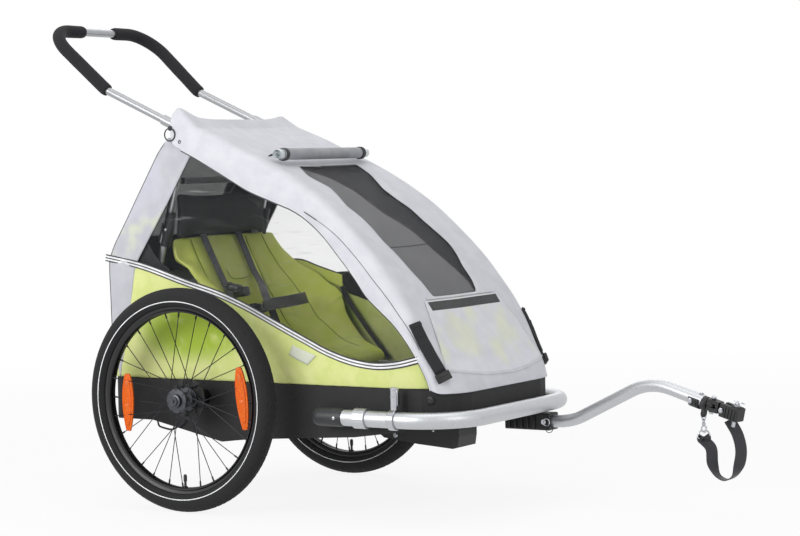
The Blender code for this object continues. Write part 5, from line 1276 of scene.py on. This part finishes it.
HUB = [(0.0065, 0.03), (0.0135, 0.03), (0.0155, 0.0285), (0.0158, 0.0235), (0.014, 0.0222), (0.0262, 0.021),
       (0.027, 0.0198), (0.027, 0.0178), (0.0262, 0.017), (0.016, 0.016), (0.0122, 0.0115), (0.011, 0.0)]
TREAD_STEPS, TREAD_DEPTH = 384, 0.0016
GROOVES = ((1, 6, 0), (2, 4, 2), (3, 4, 1))  # row of blocks, steps from groove to groove, where the first one is
LINE_POINT = 4  # the tyre's thin reflective line, on both faces
SPOKES, SPOKE_LOW, SPOKE_HIGH = 14, 0.0238, 0.1975
HALF_TRACK, WHEEL_RADIUS = 0.34, 0.25
REFLECTORS = [((-0.1485, 0.2395), 0.130, 0.0), ((0.1680, 0.2600), 0.138, -6)]  # x and z, length, tilt
LENS = [  # raised fields: share of the lens's width and length, shift along it, from and to across, bevel, material
    (0.66, 0.80, 0.0, 0.0018, 0.0036, 0.0009, 0), (0.30, 0.10, 0.33, 0.0030, 0.0043, 0.0004, 1),
    (0.42, 0.055, -0.05, 0.0030, 0.0041, 0.0004, 1),
]


def both_ways(profile):
    """A half profile and its mirror image, as one closed loop."""
    return list(profile) + [(q[0], -q[1], *q[2:]) for q in profile[::-1] if q[1] > 0]


def build_tyre(name, body, centre):
    radius, across, kind = np.array(both_ways(TYRE)).T
    angle = np.arange(TREAD_STEPS) * TURN / TREAD_STEPS
    step = np.arange(TREAD_STEPS)[:, None] + (np.abs(across) * 420).astype(int)
    groove = np.any([(kind == row) & ((step + shift) % pitch == 0) for row, pitch, shift in GROOVES], axis=0)
    reach = radius - np.where(groove, TREAD_DEPTH, 0.0)
    rows = [reach * np.cos(angle)[:, None], across + centre.y + 0 * reach, reach * np.sin(angle)[:, None] + centre.z]
    lines = (LINE_POINT, len(radius) - 2 - LINE_POINT)
    Shape().ring(np.stack(rows, 2), mats=lambda _, point: int(point in lines)).done(
        f"tyre_tread_{name}", [rubber, stripe], body, [f"tyre_{name}"], 34)


def build_spokes(hub, nipples, centre):
    step = TURN / SPOKES
    at = lambda reach, angle, out: centre + Vector((reach * math.cos(angle), out, reach * math.sin(angle)))
    for k in range(SPOKES):
        for face in (1, -1):
            angle = k * step + (0.0 if face > 0 else step / 2)
            start = at(SPOKE_LOW, angle + 2 * step * (1 if k % 2 else -1), face * (0.0200 if k % 2 else 0.0172))
            end = at(SPOKE_HIGH, angle, face * 0.0030)
            way = (end - start).normalized()
            hub.tube([start, start + way * 0.012, end], 0.0010, sides=7, mat=1, bevel=0)
            tip = end - way * 0.0135
            thread = [tip, tip + way * 0.002, end - way * 0.0005, end]
            nipples.tube(thread, [0.0013, 0.002, 0.002, 0.0026], sides=8, bevel=0)
            head = [(0.0017, -0.0007), (0.0017, 0.0004), (0.0009, 0.0009)]
            hub.lathe(head, start + Y * face * 0.0012, Y * face, sides=10, mat=1)


def build_reflector(name, body, side, spot, length, tilt):
    t = np.linspace(0, 1, 25)
    half = 0.0058 + 0.0100 * np.sin(np.pi * t ** 0.9) ** 0.8
    outline = [(h, (0.5 - s) * length) for h, s in zip(half, t)]
    outline += [(-h, b) for h, b in outline[::-1]]
    turn = Matrix.Translation((spot[0], side * 0.3445, spot[1])) @ Matrix.Rotation(math.radians(tilt), 4, "Y")
    lens = Shape().prism(outline, "y", -0.0022, 0.0022, 0.0012, turn)
    for wide, long, shift, start, end, bevel, mat in LENS:
        field = [(a * wide, b * long + length * shift) for a, b in outline]
        lens.prism(field, "y", *sorted((side * start, side * end)), bevel, turn, mat)
    lens.done(name, [reflector_orange, reflector_deep], body)


def build_wheel(name, side):
    body = f"wheel_{name}"
    centre = Vector((0, side * HALF_TRACK, WHEEL_RADIUS))
    build_tyre(name, body, centre)
    Shape().lathe(both_ways(RIM), centre, sides=160, closed=True).done(
        f"rim_profile_{name}", rim_paint, body, [f"rim_{name}"], 30)
    hub, nipples, valve = Shape().lathe(both_ways(HUB), centre, sides=56, closed=True), Shape(), Shape()
    build_spokes(hub, nipples, centre)
    hub.done(f"spoked_hub_{name}", [hub_paint, spoke_steel], body, [f"hub_and_spokes_{name}"])
    nipples.done(f"spoke_nipples_{name}", spoke_steel, body)
    for profile in ([(0.0055, 0.1962), (0.0055, 0.1935), (0.003, 0.1925), (0.0026, 0.18)],
                    [(0.0028, 0.1825), (0.004, 0.1815), (0.0041, 0.17), (0.003, 0.1668), (0.001, 0.166)]):
        valve.lathe(profile, centre + X * 0.004, -Z, sides=24)
    valve.done(f"valve_{name}", black_plastic, body)
    for number, reflector in enumerate(REFLECTORS, 1):
        build_reflector(f"reflector_{number}_{name}", body, side, *reflector)


for side_name, side_sign in SIDES.items():
    build_wheel(side_name, side_sign)


# Tubes, bumper and tow arm

HITCH = Vector((1.070, 0.0815, 0.2475))
HITCH_TURN = Matrix.Rotation(math.radians(-12.7), 3, "Z") @ Matrix.Rotation(math.radians(14), 3, "Y")
BUMPER_Y, BUMPER_Z = 0.285, 0.222
FLAG_SOCKET = (0.521, -BUMPER_Y, BUMPER_Z)
NOSE = [(0.0003, 0.318), (0.008, 0.3183), (0.0135, 0.32), (0.0176, 0.324), (0.0198, 0.33), (0.0205, 0.338),
        (0.0205, 0.3915), (0.0199, 0.3945), (0.0182, 0.395), (0.0182, 0.34), (0.0003, 0.339)]
STRAP_LINE = [(1.0865, 0.15), (1.092, 0.112), (1.106, 0.087), (1.121, 0.0812), (1.138, 0.088), (1.151, 0.112),
              (1.157, 0.145), (1.15, 0.178), (1.131, 0.2105)]
STRAP_FACE = math.radians(34)


def dome(shape, place, out, radius, height):
    """A domed screw or rivet head."""
    shape.lathe([(radius, 0.0), (radius, height * 0.35), (radius * 0.78, height * 0.8), (radius * 0.38, height),
                 (radius * 0.30, height * 0.8)], place, out, sides=24)


def hex_head(shape, place, out, radius, height):
    shape.lathe([(radius * 1.12, 0.0), (radius * 1.12, 0.0009)], place, out, sides=28)
    shape.lathe([(radius, 0.0009), (radius, height * 0.8), (radius * 0.86, height)], place, out, sides=6)


def bumper_nose(name, side):
    Shape().lathe(NOSE, (0, side * BUMPER_Y, BUMPER_Z), X, sides=56).done(
        f"bumper_nose_{name}", cap_plastic, replaces=[f"bumper_end_cap_{name}"])
    rivet = Shape()
    dome(rivet, (0.3795, side * 0.3053, 0.2225), Y * side, 0.0040, 0.0020)
    rivet.done(f"bumper_rivet_{name}", bright_steel)


def build_flag_socket():
    collar = [(0.0183, -0.008), (0.0216, -0.008), (0.0222, -0.007), (0.0222, 0.007), (0.0216, 0.008), (0.0183, 0.008)]
    socket = Shape().lathe(collar, FLAG_SOCKET, X, sides=56, closed=True)
    socket.lathe([(0.005, 0.0215), (0.0078, 0.0215), (0.0078, 0.069), (0.007, 0.07), (0.005, 0.07), (0.005, 0.023)],
                 FLAG_SOCKET, Z, sides=40, closed=True)
    for z in (0.030, 0.050, 0.0665):
        socket.lathe([(0.0076, z - 0.0016), (0.0084, z - 0.0012), (0.0084, z + 0.0012), (0.0076, z + 0.0016)],
                     FLAG_SOCKET, Z, sides=40, closed=True)
    socket.block((0.5285, -0.2815, 0.2720), (0.0040, 0.0070, 0.0380), 0.0012)
    socket.block((0.5210, -0.2715, 0.2640), (0.0110, 0.0040, 0.0300), 0.0012)
    socket.done("flag_socket", bright_steel, replaces=["flag_holder"], angle=30)


def build_arm():
    ahead = HITCH_TURN @ X
    corners = [(0.56, 0.16, 0.178), (0.712, 0.16, 0.178), HITCH - ahead * 0.145, HITCH + ahead * 0.0040]
    Shape().tube(even(rounded(corners, 0.16, math.radians(3)), 0.006), 0.014, sides=44, bevel=0.06).done(
        "tow_tube", aluminium, replaces=["tow_arm"])
    # ribbed jaws of the receiver, round the arm's root
    ribs = Shape()
    for x in (0.566, 0.582, 0.598, 0.614, 0.630):
        for y in (0.1362, 0.1838):
            ribs.block((x, y, 0.1760), (0.0050, 0.0056, 0.0300), 0.0014)
    ribs.done("receiver_ribs", black_plastic)
    coil = [(0.6715 + 0.0088 * math.cos(t), 0.1294 + 0.0006 * t / TURN, 0.1640 + 0.0088 * math.sin(t))
            for t in np.linspace(0, 2 * TURN, 120)]
    Shape().tube(coil, 0.00075, sides=8).done("split_ring", dark_steel, "receiver_lock")
    bolts = Shape()
    hex_head(bolts, (0.3710, -0.0400, 0.1560), -Y, 0.0058, 0.0036)
    dome(bolts, (0.4700, -0.0400, 0.1700), -Y, 0.0030, 0.0014)
    bolts.done("bracket_bolts", bright_steel)


def build_handle():
    corner, bend = Vector((-0.1075, 0, 0.8555)), Vector((-0.322, 0, 0.950))
    start = corner + (bend - corner).normalized() * 0.0188
    half = [(start.x, 0.1798, start.z), (bend.x, 0.1798, bend.z), (-0.489, 0.192, 1.096)]
    line = even(rounded([(x, -y, z) for x, y, z in half] + half[::-1], 0.075, math.radians(4)), 0.005)
    Shape().tube(line, 0.0095, sides=32, bevel=0.05).done("handle_bar", handle_metal, "handle", ["push_bar"])
    for name, side in SIDES.items():
        half = line if side < 0 else line[::-1]
        past_bend = half[:, 0] < -0.3165
        near_middle = (half[:, 1] * side < 0.0555) & (half[:, 0] < -0.4)
        path = half[int(np.argmax(past_bend)):int(np.argmax(near_middle))]
        t = np.arange(len(path))
        edge = np.minimum(np.minimum(t, t[::-1]) / 1.5, 1.0)
        size = 0.0150 - 0.0016 * (1 - edge) + 0.00035 * noise_at(path, 30.0, side)
        Shape().tube(path, size, sides=40, bevel=0.04).done(f"foam_grip_{name}", foam, "handle", [f"grip_{name}"])


def in_hitch(x, y, z):
    return HITCH + HITCH_TURN @ Vector((x, y, z))


def bolt_heads(name, body, *heads):
    """Hex heads in the hitch: where each is, which way it looks, its radius and its height."""
    bolts = Shape()
    for place, way, radius, height in heads:
        hex_head(bolts, in_hitch(*place), HITCH_TURN @ way, radius, height)
    bolts.done(name, bright_steel, body)


def arc_points(radius, start, end, count):
    return [(radius * math.cos(t), radius * math.sin(t)) for t in np.radians(np.linspace(start, end, count))]


def build_hitch():
    move = Matrix.Translation(HITCH) @ HITCH_TURN.to_4x4()
    jaw, rib = (arc_points(0.0190, a, b, count) + arc_points(inside, b, a, count)
                for inside, a, b, count in ((0.0143, 165, 375, 22), (0.0165, 175, 365, 20)))
    saddle = Shape().prism(jaw, "x", -0.0270, -0.0012, 0.0008, move)
    for x in (-0.0245, -0.0150, -0.0050):
        saddle.prism(rib, "x", x - 0.0022, x + 0.0022, 0.0006, move)
    saddle.lathe([(0.0146, -0.0006), (0.0158, 0.0004), (0.0158, 0.0085), (0.013, 0.012), (0.006, 0.0125)],
                 in_hitch(0.0040, 0, -0.0028), HITCH_TURN @ X, sides=36)
    tongue = [(0.01, 0.004), (0.0268, 0.004), (0.031, 0.0026), (0.0355, 0), (0.031, -0.0026), (0.0268, -0.004),
              (0.01, -0.004)]
    saddle.prism(tongue, "y", -0.0100, 0.0100, 0.0006, move)
    saddle.block(in_hitch(0.0085, 0, -0.0225), (0.011, 0.011, 0.0120), 0.002, HITCH_TURN)
    saddle.lathe([(0.0026, -0.0028), (0.0062, -0.0028), (0.0062, 0.0028), (0.0026, 0.0028)],
                 in_hitch(0.0085, 0, -0.0272), HITCH_TURN @ Y, sides=28, closed=True)
    saddle.done("hitch_saddle", black_plastic, replaces=["hitch_clamp"], angle=30)
    bolt_heads("saddle_bolts", "trailer", ((-0.02, -0.0186, -0.0035), -Y, 0.0054, 0.004),
               ((-0.02, 0.0186, -0.0035), Y, 0.0054, 0.004), ((-0.006, 0, 0.0136), Z, 0.005, 0.0036))
    bolt_heads("yaw_bolt_ends", "hitch_swivel", ((0.027, 0, -0.0152), -Z, 0.0058, 0.0046),
               ((0.027, 0, 0.0152), Z, 0.0058, 0.0046))
    fins = Shape()
    for x in (0.0700, 0.0780, 0.0860, 0.0940):
        for side in (-1, 1):
            fins.block(in_hitch(x, side * 0.0150, -0.002), (0.0036, 0.0030, 0.0230), 0.0008, HITCH_TURN)
    fins.block(in_hitch(0.0900, 0, 0.0150), (0.0200, 0.0190, 0.0030), 0.0010, HITCH_TURN)
    fins.done("hitch_fins", black_plastic, "hitch_end")
    bolt_heads("pitch_bolt_ends", "hitch_end", ((0.061, -0.0164, 0), -Y, 0.005, 0.0034),
               ((0.061, 0.0164, 0), Y, 0.005, 0.0034))
    wire = [(0.078, 0), (0.088, 0), (0.098, 0.001), (0.103, 0.005), (0.099, 0.0085), (0.093, 0.006), (0.0885, 0.0052),
            (0.084, 0.0062), (0.079, 0.006)]
    Shape().tube(spline([in_hitch(x, y, 0.0252) for x, y in wire], 60), 0.0008, sides=8).lathe(
        [(0.005, 0.0), (0.0056, 0.0008), (0.0056, 0.004), (0.004, 0.0052), (0.001, 0.0056)],
        in_hitch(0.088, 0, 0.0186), HITCH_TURN @ Z, sides=28).done("coupling_pin_clip", bright_steel, "coupling_pin")


def build_safety_strap():
    x, y, top = in_hitch(0.0085, 0, -0.0265)
    low = top - 0.040
    hook = Shape()
    ring = lambda across, middle, up, count: [(x + across * math.sin(t), y, low + middle - up * math.cos(t))
                                              for t in np.arange(count) * TURN / count]
    hook.loop(ring(0.0052, 0.0078, 0.0072, 32), 0.0016, sides=12)
    hook.lathe([(0.001, 0.0145), (0.003, 0.015), (0.0042, 0.0165), (0.0042, 0.021), (0.0026, 0.0225), (0.0026, 0.025),
                (0.004, 0.0262), (0.004, 0.0285), (0.0018, 0.03)], (x, y, low), Z, sides=28)
    hook.loop(ring(0.0048, 0.0348, 0.0058, 28), 0.0015, sides=12)
    hook.block((x + 0.0062, y, low + 0.0130), (0.0020, 0.0030, 0.0070), 0.0006)
    hook.done("swivel_snap", bright_steel, replaces=["snap_hook"])
    bar = low + 0.0041
    face = Vector((math.cos(STRAP_FACE), math.sin(STRAP_FACE), 0))
    corners = [(0, 0), (0.0085, 0), (0.0155, -0.016), (-0.0155, -0.016), (-0.0085, 0), (0, 0)]
    wire = rounded([Vector((x, y, bar + up)) + face * across for across, up in corners], 0.0040, math.radians(12))[:-1]
    Shape().loop(wire, 0.0018, sides=14).done("strap_ring", bright_steel, replaces=["d_ring"])
    eye = [(x + 0.0032 * math.cos(a), bar - 0.016 + 0.0032 * math.sin(a)) for a in np.radians(range(-60, 241, 20))]
    line = np.array([(a, y, b) for a, b in eye + spline([eye[-1]] + STRAP_LINE, 90)[3:].tolist()])
    low_share = 1 - ease(line[:, 2], 0.082, 0.125)
    low_share[:len(eye)] = 0
    swing = STRAP_FACE + (math.pi / 2 - STRAP_FACE) * low_share
    Shape().ribbon(line, 0.0250, 0.0022, np.stack([np.cos(swing), np.sin(swing), 0 * swing], 1)).done(
        "safety_webbing", strap_black, replaces=["safety_strap"])


def hinge_cap(name, side):
    """A black cap on a pivot of the roof hoop, seen through the tub's hole."""
    profile = [(0.01, 0.0), (0.01, 0.0014), (0.0082, 0.003), (0.004, 0.0036), (0.003, 0.0028), (0.0012, 0.0026)]
    Shape().lathe(profile, (0.585, side * 0.2414, 0.262), Y * side, sides=32).done(
        f"hinge_cap_{name}", black_plastic, "roof")


bow = [(x, side * BUMPER_Y, BUMPER_Z) for x, side in ((0.338, -1), (0.668, -1), (0.668, 1), (0.338, 1))]
Shape().tube(even(rounded(bow, 0.13, math.radians(3)), 0.006), 0.018, sides=48, bevel=0).done(
    "bumper_bow", aluminium, replaces=["bumper_tube"])
for side_name, side_sign in SIDES.items():
    bumper_nose(side_name, side_sign)
build_flag_socket()
build_arm()
build_handle()
build_hitch()
build_safety_strap()
for side_name, side_sign in SIDES.items():
    hinge_cap(side_name, side_sign)


# Camera, floor and light

WORLD_LIGHT = 0.50
LAMPS = {  # place, target, size, power
    "overhead": ((0.2, -0.2, 3.6), (0, 0, 0.4), (3.2, 2.6), 28),
    "front_left": ((-1.2, -3.6, 1.7), (0, 0, 0.5), (2.6, 2.0), 80),
    "front_right": ((3.4, -1.2, 2.0), (0, 0, 0.5), (1.8, 1.6), 18),
    "behind": ((-1.5, 3.2, 2.6), (0, 0, 0.6), (2.4, 1.4), 18),
}
scene = bpy.context.scene


def in_scene(obj):
    scene.collection.objects.link(obj)
    return obj


def make_camera():
    data = bpy.data.cameras.new("camera")
    data.lens, data.sensor_width = 103.5, 36.0
    data.clip_start, data.clip_end = 0.05, 200.0
    scene.camera = in_scene(bpy.data.objects.new("camera", data))
    right, up = Vector((0.849839, 0.526678, -0.019575)), Vector((-0.009532, 0.052493, 0.998576))
    forward = Vector((-0.526956, 0.848442, -0.049631))
    turn = Matrix((right.normalized(), up.normalized(), -forward.normalized())).transposed().to_4x4()
    scene.camera.matrix_world = Matrix.Translation(Vector((3.10523, -4.40971, 0.78752)) + AXLE) @ turn


def seen_directly(tree):
    """1 where a ray comes from the camera, a reflection or a clear surface, and else 0."""
    path = tree.nodes.new("ShaderNodeLightPath").outputs
    seen = path["Is Camera Ray"]
    for kind in ("Is Glossy Ray", "Is Transmission Ray"):
        most = tree.nodes.new("ShaderNodeMath")
        most.operation = "MAXIMUM"
        tree.links.new(seen, most.inputs[0])
        tree.links.new(path[kind], most.inputs[1])
        seen = most.outputs[0]
    return seen


def make_floor():
    """A wide pale floor that takes shadows and fades to white with the distance."""
    shape = bmesh.new()
    bmesh.ops.create_circle(shape, cap_ends=True, segments=96, radius=40.0)
    mesh = bpy.data.meshes.new("floor")
    shape.to_mesh(mesh)
    shape.free()
    floor = in_scene(bpy.data.objects.new("floor", mesh))
    floor.location = (0, 0, -0.0006)
    p = Paint("pale_floor", None, 0.9, Base_Color=linear((236, 236, 237)))
    away = p.node("VectorMath", {0: p.place()}, operation="LENGTH").outputs["Value"]
    share = p.times(seen_directly(p.tree), p.math("MULTIPLY_ADD", p.between(away, 1.2, 4.5), 0.12, 0.88))
    glow = p.node("Emission", {"Color": (1, 1, 1, 1), "Strength": 1.0})
    blend = p.node("MixShader", {0: share, 1: p.shader.outputs[0], 2: glow.outputs[0]})
    p.tree.links.new(blend.outputs[0], p.tree.nodes["Material Output"].inputs["Surface"])
    mesh.materials.append(p.material)


def make_world():
    scene.world = bpy.data.worlds.new("world")
    scene.world.use_nodes = True
    tree = scene.world.node_tree
    background = tree.nodes["Background"].inputs
    strength = tree.nodes.new("ShaderNodeMapRange")
    strength.inputs["To Min"].default_value = WORLD_LIGHT
    strength.inputs["To Max"].default_value = 1.0
    tree.links.new(seen_directly(tree), strength.inputs["Value"])
    tree.links.new(strength.outputs["Result"], background["Strength"])
    background["Color"].default_value = (1, 1, 1, 1)


make_camera()
make_floor()
make_world()
for lamp_name, (place, target, size, power) in LAMPS.items():
    light = bpy.data.lights.new(lamp_name, "AREA")
    light.shape = "RECTANGLE"
    light.size, light.size_y = size
    light.energy = power
    lamp = in_scene(bpy.data.objects.new(lamp_name, light))
    lamp.location = Vector(place)
    lamp.rotation_euler = (Vector(target) - Vector(place)).to_track_quat("-Z", "Y").to_euler()

scene.view_settings.view_transform = "Standard"
